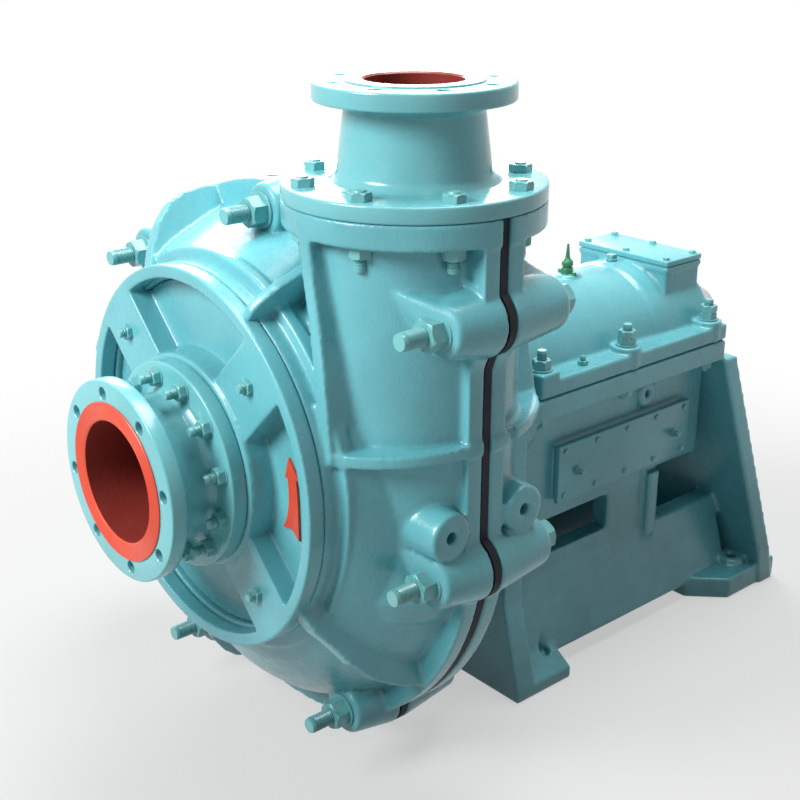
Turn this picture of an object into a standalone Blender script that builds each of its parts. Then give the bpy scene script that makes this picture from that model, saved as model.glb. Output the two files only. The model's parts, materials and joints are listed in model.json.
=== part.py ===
"""Horizontal slurry pump with a rubber-lined split casing on a cast bearing frame.

Everything is built from the shaft datum, the point where the shaft axis crosses the
parting plane of the casing: X is to the right seen from the suction end, Y runs along the
shaft to the drive end and Z is up. One empty carries the datum to its height over the floor,
so that the world origin lies under the shaft, in the middle of the front foot.
"""

import math

import bmesh
import bpy
from mathutils import Vector

# Places of the datum over the floor and ahead of the front foot
SHAFT_HEIGHT = 0.610
FRONT_FOOT_Y = 0.320

# Clearances
SEAT_GAP = 0.0003
FIT_GAP = 0.0005
WEAR_GAP = 0.004
CUT_OVERRUN = 0.012
WELD_DEPTH = 0.004
MERGE_DISTANCE = 0.00001

# Facets of round forms
LARGE_SEGMENTS = 32
MEDIUM_SEGMENTS = 24
SMALL_SEGMENTS = 10
STUD_SEGMENTS = 6
HEX_SIDES = 6
SHARP_ANGLE = math.radians(32)
FLAT_ANGLE = math.radians(0.01)

# Casing halves, with a centre set off from the shaft as the volute needs
CASING_CENTRE_X = -0.055
CASING_CENTRE_Z = -0.070
CASING_FLANGE_R = 0.503
CASING_FLAT_X = 0.437
CASING_FLANGE_T = 0.032
CASING_BELLY_R = 0.462
CASING_WALL = 0.018
COLLAR_R = 0.318
RIDGE_R = 0.345
RIDGE_STEP = 0.022
FRONT_BELLY_Y = -0.208
REAR_BELLY_Y = 0.150
REAR_WALL_T = 0.022
REAR_SEAT_R = 0.236
REAR_SEAT_H = 0.018
# Belly as shares of its run from edge to flange, of its growth and of its centre's set-off
BELLY_SHARES = ((0.0, 0.0, 0.0), (0.3, 0.44, 0.6), (0.65, 0.80, 1.0), (1.0, 1.0, 1.0))
HOLLOW_SHARES = ((0.0, 0.0, 0.0), (0.5, 0.62, 0.85), (1.0, 1.0, 1.0))

# Discharge neck of the casing
NECK_X = 0.264
NECK_R = 0.146
NECK_FOOT_Z = 0.020
NECK_FOOT_SHIFT = -0.030
NECK_WAIST_RX = 0.158
NECK_WAIST_RY = 0.178
NECK_WAIST_REAR_RY = 0.158
NECK_WAIST_TOP_Z = 0.270
NECK_SHOULDER_Z = 0.360
NECK_TOP_Z = 0.4545
NECK_FLANGE_R = 0.206
NECK_FLANGE_T = 0.040
NECK_WEB_HALF = 0.201
NECK_WEB_FOOT_Z = 0.285
NECK_WEB_BLEND = 0.075
NECK_RIB_T = 0.026
NECK_RIB_TOP_X = 0.246
NECK_RIB_TOP_REACH = 0.200
NECK_RIB_FOOT_X = 0.318
NECK_RIB_FOOT_REACH = 0.224
WAIST_RIB_RX = 0.178
WAIST_RIB_RY = 0.232
WAIST_RIB_Z = 0.090
WAIST_RIB_T = 0.021

# Ribs of the casing, as angles seen from the suction end
FRONT_RIB_ANGLES = (-152.0, -108.0)
REAR_RIB_ANGLES = (-44.0, -92.0, -152.0, 122.0, 60.0)
RIB_T = 0.024
RIB_H = 0.030
ARCH_ANGLE = 122.0
ARCH_T = 0.030
ARCH_H = 0.044
BROW_ANGLE = 60.0
BROW_T = 0.020
BROW_H = 0.048
BOWL_X = 0.270
BOWL_Z = -0.190
BOWL_ANGLE = -73.0
BOWL_T = 0.030
BOWL_REACH = 0.190
BOWL_FRONT_Y = -0.198
# Edge of the bowl-shaped rib as shares of its reach and of its run to the flange
BOWL_SHARES = ((0.0, 0.0), (0.32, 0.20), (0.60, 0.38), (0.82, 0.56), (0.95, 0.80), (1.0, 1.0))

# Tie bolts that close the casing, as places in the plane across the shaft
TIE_RING_R = 0.472
TIE_RING_ANGLES = (137.0, 84.0, -6.5, -59.0, -116.0, 190.0)
TIE_NECK_X = 0.430
TIE_NECK_Z = 0.295
LUG_FACE_R = 0.046
LUG_ROOT_R = 0.058
LUG_FRONT_Y = -0.098
LUG_REAR_Y = 0.138
TIE_STUD_R = 0.0145
TIE_NUT_R = 0.0265
TIE_NUT_H = 0.030
TIE_TAIL = 0.044

# Side ears for handling the halves
EAR_R = 0.040
EAR_REACH = 0.018
EAR_HOLE_R = 0.010
EAR_HOLE_DEPTH = 0.030
EAR_Z = -0.040
EAR_FRONT_Y = -0.078
EAR_REAR_Y = 0.082
FAR_EAR_R = 0.043
FAR_EAR_END_X = -0.530
FAR_EAR_ROOT_X = -0.380
FAR_EAR_Y = -0.110
FAR_EAR_Z = 0.030
REAR_RECESS_W = 0.030
REAR_RECESS_H = 0.095
REAR_RECESS_D = 0.012
REAR_RECESS_Z = 0.030

# Suction cover
COVER_R = 0.330
COVER_RIM_T = 0.030
COVER_FRONT_Y = -0.265
COVER_SPIGOT_R = 0.302
COVER_SPIGOT_T = 0.040
COVER_HUB_R = 0.184
COVER_HUB_H = 0.007
COVER_RIM_W = 0.035
COVER_ARM_W = 0.200
COVER_ARM_ANGLES = (45.0, 135.0, 225.0, 315.0)
COVER_POCKET_D = 0.040
COVER_BACK_D = 0.015
COVER_BACK_WALL = 0.018

# Suction pipe, DN200
SUCTION_FACE_Y = -0.409
SUCTION_BORE_R = 0.103
SUCTION_FLANGE_R = 0.170
SUCTION_FLANGE_T = 0.028
SUCTION_RAISED_R = 0.134
SUCTION_RAISED_H = 0.003
SUCTION_BOLT_RING_R = 0.1475
SUCTION_HOLE_R = 0.011
SUCTION_HOLES = 8
SUCTION_HOLE_PHASE = math.radians(9.2)
SUCTION_PIPE_R = 0.126
SUCTION_NECK_R = 0.138
SUCTION_NECK_L = 0.020
CLAMP_FLANGE_R = 0.172
CLAMP_FLANGE_T = 0.028
SUCTION_SPIGOT_R = 0.116

# Discharge pipe, DN150
DISCHARGE_TOP_Z = 0.632
DISCHARGE_BORE_R = 0.076
DISCHARGE_BASE_BORE_R = 0.090
DISCHARGE_FLANGE_R = 0.155
DISCHARGE_FLANGE_T = 0.028
DISCHARGE_RAISED_R = 0.108
DISCHARGE_RAISED_H = 0.003
DISCHARGE_BOLT_RING_R = 0.127
DISCHARGE_HOLE_R = 0.011
DISCHARGE_HOLES = 8
DISCHARGE_HOLE_PHASE = math.radians(22.5)
DISCHARGE_CONE_TOP_R = 0.108
DISCHARGE_CONE_BASE_R = 0.120
BASE_FLANGE_T = 0.026
BASE_BOLT_RING_R = 0.176
BASE_BOLTS = 8
BASE_BOLT_PHASE = math.radians(22.5)
BASE_STUD_R = 0.010
BASE_NUT_R = 0.0185
BASE_HEAD_H = 0.013
BASE_NUT_H = 0.018
BASE_STUD_TAIL = 0.020

# Rubber liners and throat bush
LINER_LIP_T = 0.008
LIP_INSET = 0.003
TUBE_FOOT_Z = 0.040
CHAMBER_R = 0.420
CHAMBER_FRONT_Y = -0.100
CHAMBER_REAR_Y = 0.085
CHAMBER_ROUNDING = 0.030
LINER_BORE_R = 0.291
BUSH_R = 0.290
BUSH_BORE_R = 0.104
BACK_LINER_BORE_R = 0.0995

# Impeller
IMPELLER_R = 0.262
IMPELLER_EYE_R = 0.104
IMPELLER_HUB_R = 0.062
IMPELLER_NOSE_Y = -0.040
FRONT_SHROUD_T = 0.015
REAR_SHROUD_T = 0.016
EXIT_TAPER = 0.010
VANES = 5
VANE_T = 0.018
VANE_INNER_R = 0.092
VANE_WRAP = math.radians(105.0)
VANE_STEPS = 6
VANE_TIP_SHARE = 0.55
VANE_LEAD_SHARE = 0.15
VANE_SPREAD_SHARE = 1.6

# Shaft and its sleeve
NOSE_R = 0.030
NOSE_Y = 0.002
SLEEVE_SEAT_R = 0.038
SLEEVE_R = 0.050
SLEEVE_END_Y = 0.300
SEAL_R = 0.046
BEARING_BORE_R = 0.052
SHAFT_BODY_R = 0.060
COUPLING_R = 0.040
SHAFT_END_Y = 1.120
KEY_W = 0.022
KEY_H = 0.014
KEY_L = 0.090
KEY_DEPTH = 0.008
KEY_INSET = 0.012

# Stuffing box
BOX_R = 0.098
BOX_FLANGE_R = 0.140
BOX_FLANGE_T = 0.018
BOX_BORE_R = 0.068
BOX_THROAT_R = 0.052
BOX_THROAT_L = 0.014
BOX_END_Y = 0.232
LANTERN_L = 0.018
LANTERN_WAIST = 0.004
PACKING_RINGS = 3
PACKING_L = 0.0165
GLAND_FLANGE_R = 0.104
GLAND_FLANGE_T = 0.014
GLAND_STAND_OFF = 0.004
GLAND_BORE_GAP = 0.0015
GLAND_STUD_R = 0.006
GLAND_STUD_RING_R = 0.084
GLAND_NUT_R = 0.0110
GLAND_NUT_H = 0.010
GLAND_TRAVEL = 0.025
GLAND_STUD_SPARE = 0.004

# Bearings: outer rings, inner rings and roller sets
BEARING_R = 0.100
BEARING_W = 0.060
OUTER_RACE_R = 0.088
INNER_RACE_R = 0.066
FRONT_BEARING_Y = 0.385
REAR_BEARING_Y = 0.850
ROLLERS = 8
ROLLER_GAP = 0.0009
CAGE_T = 0.006
CAGE_W = 0.048
ROLLER_W = 0.040
LOCK_NUT_R = 0.064
LOCK_NUT_T = 0.014
LOCK_NUT_SLOTS = 4
LOCK_NUT_SLOT_W = 0.010
LOCK_NUT_SLOT_D = 0.005
CAP_R = 0.140
CAP_T = 0.020
CAP_SPIGOT_L = 0.012
SEAL_OUTER_R = 0.062
SEAL_T = 0.012

# Bearing housing, split on the shaft plane
HOUSING_FRONT_Y = 0.362
HOUSING_REAR_Y = 0.950
HOUSING_R = 0.150
HOUSING_CAVITY_R = 0.130
COVER_BARREL_R = 0.152
SPLIT_HALF_W = 0.200
SPLIT_FRONT_Y = 0.378
UPPER_FLANGE_T = 0.034
LOWER_FLANGE_T = 0.046
SUMP_HALF_W = 0.150
SUMP_FRONT_Y = 0.440
SUMP_REAR_Y = 0.945
SUMP_BOTTOM_Z = -0.275
SUMP_WALL = 0.045
CORNER_BLOCK_W = 0.060
CORNER_BLOCK_L = 0.050
CORNER_BLOCK_H = 0.050
BOSS_R = 0.030
BOSS_H = 0.046
COVER_BOLT_X = 0.172
COVER_BOLT_MID_Y = 0.650
COVER_BOLT_REAR_Y = 0.915
COVER_STUD_R = 0.010
COVER_NUT_R = 0.0185
COVER_NUT_H = 0.016
COVER_STUD_TAIL = 0.012
BOX_HALF_X = 0.120
BOX_FRONT_Y = 0.830
BOX_REAR_Y = 0.940
BOX_TOP_Z = 0.163
BOX_WELL_WALL = 0.014
BOX_WELL_D = 0.030
LID_T = 0.012
LID_OVERHANG = 0.003
BREATHER_Y = 0.655
BREATHER_BASE_R = 0.026
BREATHER_BASE_H = 0.006
BREATHER_R = 0.012
BREATHER_TIP_R = 0.003
BREATHER_H = 0.062
PLUG_Y = 0.795
PLUG_BOSS_R = 0.016
PLUG_BOSS_H = 0.008
PLUG_HALF = 0.010
PLUG_H = 0.014
SOCKET_R = 0.028
SOCKET_REACH = 0.012
SOCKET_HOLE_R = 0.009
SOCKET_HOLE_DEPTH = 0.020
SOCKET_Y = 0.745
SOCKET_Z = -0.086
SIDE_PLATE_FRONT_Y = 0.468
SIDE_PLATE_REAR_Y = 0.880
SIDE_PLATE_TOP_Z = -0.128
SIDE_PLATE_BOTTOM_Z = -0.252
SIDE_PLATE_T = 0.012
SIDE_PAD_T = 0.008
SIDE_PAD_INSET = 0.006

# Frame: adapter to the casing, front plate, legs and feet
ADAPTER_R = 0.200
ADAPTER_WALL = 0.024
ADAPTER_FLANGE_T = 0.022
ADAPTER_WINDOW_L = 0.070
ADAPTER_WINDOW_H = 0.150
FRONT_PLATE_T = 0.050
FRONT_PLATE_HALF_W = 0.200
FRONT_FOOT_HALF_W = 0.245
FRONT_FOOT_L = 0.155
FRONT_FOOT_H = 0.026
LEG_HALF_W = 0.150
LEG_WALL = 0.045
LEG_REAR_Y = 0.800
LEG_FOOT_Z = -0.405
PILLAR_W = 0.034
PILLAR_REACH = 0.016
WINDOW_FRONT_Y = 0.400
WINDOW_REAR_Y = 0.650
WINDOW_TOP_Z = -0.292
WINDOW_BOTTOM_Z = -0.372
SKIRT_HALF_W = 0.200
SKIRT_BOTTOM_Z = -0.574
SKIRT_WALL = 0.045
REAR_PLATE_T = 0.046
REAR_PLATE_TOP_Y = 0.935
REAR_PLATE_LEAN = 0.140
REAR_PLATE_TOP_HALF_W = 0.204
REAR_PLATE_FOOT_HALF_W = 0.268
REAR_PLATE_SHOULDER_Z = -0.520
REAR_PLATE_TOP_Z = -0.046
REAR_FOOT_FRONT_Y = 0.890
REAR_FOOT_REAR_Y = 1.135
REAR_FOOT_HALF_W = 0.262
REAR_FOOT_T = 0.050
REAR_FOOT_BEVEL = 0.070
SPINE_HALF_W = 0.105
FOOT_BOSS_R = 0.032
FOOT_BOSS_H = 0.014
FOOT_HOLE_R = 0.013
FRONT_HOLE_X = 0.196
FRONT_HOLE_Y = 0.420
REAR_HOLE_X = 0.206
REAR_HOLE_Y = 1.040

# Colours, roughness and metallic values
FINISHES = {
    "teal_paint": ((0.13, 0.42, 0.44), 0.32, 0.0),
    "dark_teal_paint": ((0.07, 0.27, 0.27), 0.40, 0.0),
    "black_rubber": ((0.015, 0.015, 0.017), 0.75, 0.0),
    "wear_iron": ((0.30, 0.30, 0.31), 0.48, 1.0),
    "bright_steel": ((0.62, 0.62, 0.64), 0.30, 1.0),
    "brass": ((0.70, 0.52, 0.24), 0.35, 1.0),
    "packing": ((0.42, 0.38, 0.30), 0.90, 0.0),
}


# Basic solids

def clear_scene():
    """Remove every object of the file that the script runs in."""
    for item in list(bpy.data.objects):
        bpy.data.objects.remove(item, do_unlink=True)


def new_object(name, verts, faces):
    """Make a linked mesh object from points and faces, with its faces turned outward."""
    mesh = bpy.data.meshes.new(name)
    mesh.from_pydata([tuple(v) for v in verts], [], faces)
    work = bmesh.new()
    work.from_mesh(mesh)
    bmesh.ops.recalc_face_normals(work, faces=work.faces)
    work.to_mesh(mesh)
    work.free()
    item = bpy.data.objects.new(name, mesh)
    bpy.context.scene.collection.objects.link(item)
    return item


def along(axis, u, v, w):
    """Turn plane coordinates (u, v) and a height w into a point, for a form along an axis."""
    if axis == "X":
        return (w, u, v)
    if axis == "Y":
        return (u, w, v)
    return (u, v, w)


def ring_points(radius, segments, centre=(0.0, 0.0), phase=0.0):
    """List the plane points of a regular ring."""
    step = math.tau / segments
    return [(centre[0] + radius * math.cos(phase + i * step),
             centre[1] + radius * math.sin(phase + i * step)) for i in range(segments)]


def turned(name, profile, segments, axis="Y", centre=(0.0, 0.0), phase=0.0):
    """Turn a closed (radius, height) profile about an axis; a zero radius is a pole."""
    verts, rows = [], []
    for radius, height in profile:
        if radius == 0:
            rows.append([len(verts)] * segments)
            verts.append(along(axis, centre[0], centre[1], height))
            continue
        rows.append(list(range(len(verts), len(verts) + segments)))
        verts += [along(axis, u, v, height) for u, v in ring_points(radius, segments, centre, phase)]
    faces = []
    for first, second in zip(rows, rows[1:] + rows[:1]):
        for i in range(segments):
            j = (i + 1) % segments
            corners = [first[i], first[j], second[j], second[i]]
            face = [c for k, c in enumerate(corners) if c not in corners[:k]]
            if len(face) > 2:
                faces.append(face)
    return new_object(name, verts, faces)


def prism(name, outline, low, high, axis="Y"):
    """Extrude a closed plane outline between two heights along an axis."""
    count = len(outline)
    verts = [along(axis, u, v, low) for u, v in outline]
    verts += [along(axis, u, v, high) for u, v in outline]
    faces = [list(range(count)), list(range(count, 2 * count))]
    faces += [[i, (i + 1) % count, count + (i + 1) % count, count + i] for i in range(count)]
    return new_object(name, verts, faces)


def cylinder(name, radius, low, high, segments, axis="Y", centre=(0.0, 0.0), phase=0.0):
    """Make a cylinder along an axis."""
    return prism(name, ring_points(radius, segments, centre, phase), low, high, axis)


def block(name, low, high):
    """Make a box from its lowest and its highest corner."""
    outline = [(low[0], low[1]), (high[0], low[1]), (high[0], high[1]), (low[0], high[1])]
    return prism(name, outline, low[2], high[2], "Z")


def skinned(name, rings):
    """Skin rings of equal count into a solid with flat ends."""
    count = len(rings[0])
    verts = [point for ring in rings for point in ring]
    last = count * (len(rings) - 1)
    faces = [list(range(count)), list(range(last, last + count))]
    for row in range(len(rings) - 1):
        base = row * count
        for i in range(count):
            j = (i + 1) % count
            faces.append([base + i, base + j, base + count + j, base + count + i])
    return new_object(name, verts, faces)


def combine(item, others, operation):
    """Join or cut other solids into one, all in one step, and drop them."""
    tools = bpy.data.collections.new("tools")
    for other in others:
        tools.objects.link(other)
    step = item.modifiers.new("combine", "BOOLEAN")
    step.operation = operation
    step.solver = "EXACT"
    step.operand_type = "COLLECTION"
    step.collection = tools
    bpy.context.view_layer.update()
    graph = bpy.context.evaluated_depsgraph_get()
    mesh = bpy.data.meshes.new_from_object(item.evaluated_get(graph))
    item.modifiers.clear()
    item.data = mesh
    for other in others:
        bpy.data.objects.remove(other, do_unlink=True)
    bpy.data.collections.remove(tools)
    return item


def join(item, others):
    """Unite solids that overlap."""
    return combine(item, others, "UNION")


def cut(item, others):
    """Take solids away."""
    return combine(item, others, "DIFFERENCE")


def polar(radius, degrees):
    """Place at a radius and an angle, seen from the suction end."""
    return radius * math.cos(math.radians(degrees)), radius * math.sin(math.radians(degrees))


def make_material(label):
    """Make a Principled material from the table of finishes."""
    colour, roughness, metallic = FINISHES[label]
    material = bpy.data.materials.new(label)
    material.use_nodes = True
    shader = material.node_tree.nodes["Principled BSDF"]
    shader.inputs["Base Color"].default_value = (*colour, 1.0)
    shader.inputs["Roughness"].default_value = roughness
    shader.inputs["Metallic"].default_value = metallic
    return material


class Workshop:
    """Holds the datum and the materials, and finishes each piece."""

    def __init__(self):
        self.datum = bpy.data.objects.new("shaft_datum", None)
        self.datum.location = (0, -FRONT_FOOT_Y, SHAFT_HEIGHT)
        bpy.context.scene.collection.objects.link(self.datum)
        self.materials = {label: make_material(label) for label in FINISHES}

    def finish(self, item, name, label, place=(0, 0, 0)):
        """Name a piece, clean its mesh, give it its material and hang it on the datum."""
        mesh = item.data
        work = bmesh.new()
        work.from_mesh(mesh)
        bmesh.ops.remove_doubles(work, verts=work.verts, dist=MERGE_DISTANCE)
        bmesh.ops.dissolve_limit(work, angle_limit=FLAT_ANGLE, verts=work.verts, edges=work.edges)
        work.to_mesh(mesh)
        work.free()
        mesh.materials.clear()
        mesh.materials.append(self.materials[label])
        mesh.shade_smooth()
        mesh.set_sharp_from_angle(angle=SHARP_ANGLE)
        item.name = name
        mesh.name = name
        item.location = place
        item.parent = self.datum
        return item


# Fasteners, made along +Z from their seat at zero

def hex_points(radius):
    """List the corners of a hexagon, by its corner radius."""
    return ring_points(radius, HEX_SIDES)


def screw_head(name, centre, seat, outward, radius, height, axis):
    """Make a low hexagon head sunk a little into its seat."""
    hexagon = [(centre[0] + u, centre[1] + v) for u, v in hex_points(radius)]
    return prism(name, hexagon, seat - outward * WELD_DEPTH / 2, seat + outward * height, axis)


# Casing

def casing_ring(radius, shift, y):
    """One ring of the belly, its centre shifted from the shaft by a share of the set-off."""
    centre = (CASING_CENTRE_X * shift, CASING_CENTRE_Z * shift)
    return [(u, y, v) for u, v in ring_points(radius, LARGE_SEGMENTS, centre)]


def belly_rings(edge_r, belly_r, edge_y, flange_y, end_y, shares=BELLY_SHARES):
    """Rings of the belly from its edge near the shaft to the parting flange."""
    rings = []
    for run, growth, shift in shares:
        rings.append(casing_ring(edge_r + (belly_r - edge_r) * growth, shift,
                                 edge_y + (flange_y - edge_y) * run))
    rings.append(casing_ring(belly_r, 1, end_y))
    return rings


def belly_reach(degrees, edge_r, belly_r, edge_y, flange_y):
    """Points (radius, y) where the belly's skin stands along one angle from the shaft."""
    direction = Vector((math.cos(math.radians(degrees)), math.sin(math.radians(degrees))))
    points = []
    for run, growth, shift in BELLY_SHARES:
        centre = Vector((CASING_CENTRE_X, CASING_CENTRE_Z)) * shift
        radius = edge_r + (belly_r - edge_r) * growth
        lean = direction.dot(centre)
        reach = lean + math.sqrt(radius ** 2 - centre.length_squared + lean ** 2)
        points.append((reach, edge_y + (flange_y - edge_y) * run))
    return points


def flange_outline(inset=0.0):
    """Outline of the parting flange: a round belly, a flat flank and the neck's web."""
    radius = CASING_FLANGE_R - inset
    flat = CASING_FLAT_X - inset
    right = NECK_X + NECK_WEB_HALF - inset
    left = NECK_X - NECK_WEB_HALF + inset
    start = math.asin(-math.sqrt(radius ** 2 - (flat - CASING_CENTRE_X) ** 2) / radius)
    stop = math.acos((left - CASING_CENTRE_X) / radius) - math.tau
    points = [(left, NECK_TOP_Z - inset), (right, NECK_TOP_Z - inset), (right, NECK_WEB_FOOT_Z),
              (flat, NECK_WEB_FOOT_Z - NECK_WEB_BLEND)]
    steps = LARGE_SEGMENTS - SMALL_SEGMENTS // 2
    for i in range(steps + 1):
        angle = start + (stop - start) * i / steps
        points.append((CASING_CENTRE_X + radius * math.cos(angle),
                       CASING_CENTRE_Z + radius * math.sin(angle)))
    return points


def tie_places():
    """Places of the tie bolts in the plane across the shaft."""
    places = [(CASING_CENTRE_X + polar(TIE_RING_R, a)[0], CASING_CENTRE_Z + polar(TIE_RING_R, a)[1])
              for a in TIE_RING_ANGLES]
    return places + [(TIE_NECK_X, TIE_NECK_Z)]


def tie_lug(place, face_y, root_y):
    """Tapered lug that a tie bolt passes through."""
    return turned("lug", [(0, root_y), (LUG_ROOT_R, root_y), (LUG_FACE_R, face_y), (0, face_y)],
                  SMALL_SEGMENTS, "Y", place)


def fin(origin, degrees, outline, thickness):
    """Flat rib in the plane of the shaft's direction and of one direction across it."""
    count = len(outline)
    along_rib = Vector((math.cos(math.radians(degrees)), 0, math.sin(math.radians(degrees))))
    side = along_rib.cross(Vector((0, 1, 0))) * (thickness / 2)
    start = Vector((origin[0], 0, origin[1]))
    verts = []
    for sign in (-1, 1):
        for reach, y in outline:
            verts.append(start + along_rib * reach + Vector((0, y, 0)) + side * sign)
    faces = [list(range(count)), list(range(count, 2 * count))]
    faces += [[i, (i + 1) % count, count + (i + 1) % count, count + i] for i in range(count)]
    return new_object("rib", verts, faces)


def belly_rib(degrees, edge_r, edge_y, flange_y, height=RIB_H, thickness=RIB_T):
    """Rib from the collar over the belly to the parting flange."""
    skin = belly_reach(degrees, edge_r, CASING_BELLY_R, edge_y, flange_y)
    inner = [(reach - RIB_H / 2, y) for reach, y in skin]
    outer = [(reach + height, y) for reach, y in reversed(skin)]
    return fin((0, 0), degrees, inner + outer, thickness)


def bowl_rib(flange_y):
    """Rib that runs from the collar down and round the flank of the suction half."""
    depth = flange_y - BOWL_FRONT_Y
    edge = [(BOWL_REACH * reach, BOWL_FRONT_Y + depth * run) for reach, run in BOWL_SHARES]
    root = [(BOWL_REACH / 4, flange_y), (0, (BOWL_FRONT_Y + flange_y) / 2)]
    return fin((BOWL_X, BOWL_Z), BOWL_ANGLE, edge + root, BOWL_T)


def casing_inside(edge_y, end_y, gap):
    """Solid that fills a casing half, less a gap: the hollow or the liner's outer form."""
    edge_r = RIDGE_R - CASING_WALL - gap
    belly_r = CASING_BELLY_R - CASING_WALL - gap
    direction = math.copysign(1, end_y - edge_y)
    return skinned("inside", belly_rings(edge_r, belly_r, edge_y + direction * (CASING_WALL + gap),
                                         end_y - direction * CASING_FLANGE_T, end_y, HOLLOW_SHARES))


def neck_inside(radius, base_z, top_z):
    """Upright cylinder of the discharge passage."""
    return cylinder("passage", radius, base_z, top_z, MEDIUM_SEGMENTS, "Z", (NECK_X, 0))


def neck_ring(radius_x, radius_y, z, shift=0.0):
    """One elliptical ring of the neck."""
    return [(NECK_X + shift + u * radius_x, v * radius_y, z) for u, v in ring_points(1.0, MEDIUM_SEGMENTS)]


def neck_column(waist_ry):
    """Neck that widens from the square-off flange down to its foot in the belly."""
    middle_x, middle_y = (NECK_R + NECK_WAIST_RX) / 2, (NECK_R + waist_ry) / 2
    foot = NECK_FOOT_Z + CASING_CENTRE_Z
    return skinned("neck", [neck_ring(NECK_R / 2, NECK_R / 2, foot, NECK_FOOT_SHIFT),
                            neck_ring(NECK_WAIST_RX, waist_ry, NECK_FOOT_Z),
                            neck_ring(NECK_WAIST_RX, waist_ry, NECK_WAIST_TOP_Z),
                            neck_ring(middle_x, middle_y, (NECK_WAIST_TOP_Z + NECK_SHOULDER_Z) / 2),
                            neck_ring(NECK_R, NECK_R, NECK_SHOULDER_Z),
                            neck_ring(NECK_R, NECK_R, NECK_TOP_Z)])


def neck_rib(side):
    """Upright rib on the face of the neck, leaning with the flow."""
    half = NECK_RIB_T / 2
    rings = []
    for x, reach, z in ((NECK_RIB_TOP_X, NECK_RIB_TOP_REACH, NECK_TOP_Z - NECK_FLANGE_T / 2),
                        (NECK_RIB_FOOT_X, NECK_RIB_FOOT_REACH, WAIST_RIB_Z)):
        rings.append([(x - half, 0, z), (x + half, 0, z), (x + half, side * reach, z),
                      (x - half, side * reach, z)])
    return skinned("neck_rib", rings)


def waist_rib(side):
    """Level rib that wraps the foot of the neck."""
    steps = SMALL_SEGMENTS
    arc = [(NECK_X + WAIST_RIB_RX * math.sin(math.pi / 2 * i / steps),
            side * WAIST_RIB_RY * math.cos(math.pi / 2 * i / steps)) for i in range(steps + 1)]
    low = WAIST_RIB_Z - WAIST_RIB_T / 2
    return prism("waist_rib", arc + [(NECK_X, 0)], low, low + WAIST_RIB_T, "Z")


def neck_stack(side):
    """Neck, its flange and its two ribs, on one side of the parting."""
    flange = cylinder("neck_flange", NECK_FLANGE_R, NECK_TOP_Z - NECK_FLANGE_T, NECK_TOP_Z,
                      MEDIUM_SEGMENTS, "Z", (NECK_X, 0))
    column = neck_column(NECK_WAIST_RY if side < 0 else NECK_WAIST_REAR_RY)
    return [column, flange, neck_rib(side), waist_rib(side)]


def half_space(side):
    """Everything past the liner lip of one half, to trim that half flat."""
    reach = CASING_FLANGE_R * 2
    near = side * LINER_LIP_T
    low, high = sorted((near, -side * reach))
    return block("trim", (-reach, low, -reach), (reach, high, reach))


def tie_holes(low, high):
    """Holes for the tie bolts."""
    radius = TIE_STUD_R + FIT_GAP
    return [cylinder("tie_hole", radius, low, high, STUD_SEGMENTS, "Y", place) for place in tie_places()]


def neck_flange_holes(low, high, radius):
    """Holes for the bolts of the discharge flange."""
    return [cylinder("bolt_hole", radius, low, high, STUD_SEGMENTS, "Z", place)
            for place in ring_points(BASE_BOLT_RING_R, BASE_BOLTS, (NECK_X, 0), BASE_BOLT_PHASE)]


def side_ear(y):
    """Round ear on the flank of a casing half."""
    return cylinder("ear", EAR_R, CASING_FLAT_X - CASING_WALL * 3, CASING_FLAT_X + EAR_REACH / 2,
                    SMALL_SEGMENTS, "X", (y, EAR_Z))


def ear_hole(y):
    """Threaded hole in an ear, open to the side."""
    top = CASING_FLAT_X + EAR_REACH / 2
    return cylinder("ear_hole", EAR_HOLE_R, top - EAR_HOLE_DEPTH, top + CUT_OVERRUN, STUD_SEGMENTS,
                    "X", (y, EAR_Z))


def casing_shell(side, belly, extras, lug_y):
    """Unite the outer forms of one casing half."""
    root = side * LINER_LIP_T
    flange_y = root + side * CASING_FLANGE_T
    low, high = sorted((root, flange_y))
    forms = [prism("flange", flange_outline(), low, high, "Y")] + neck_stack(side)
    forms += extras
    forms += [tie_lug(place, lug_y, root) for place in tie_places()]
    return join(belly, forms)


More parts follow.
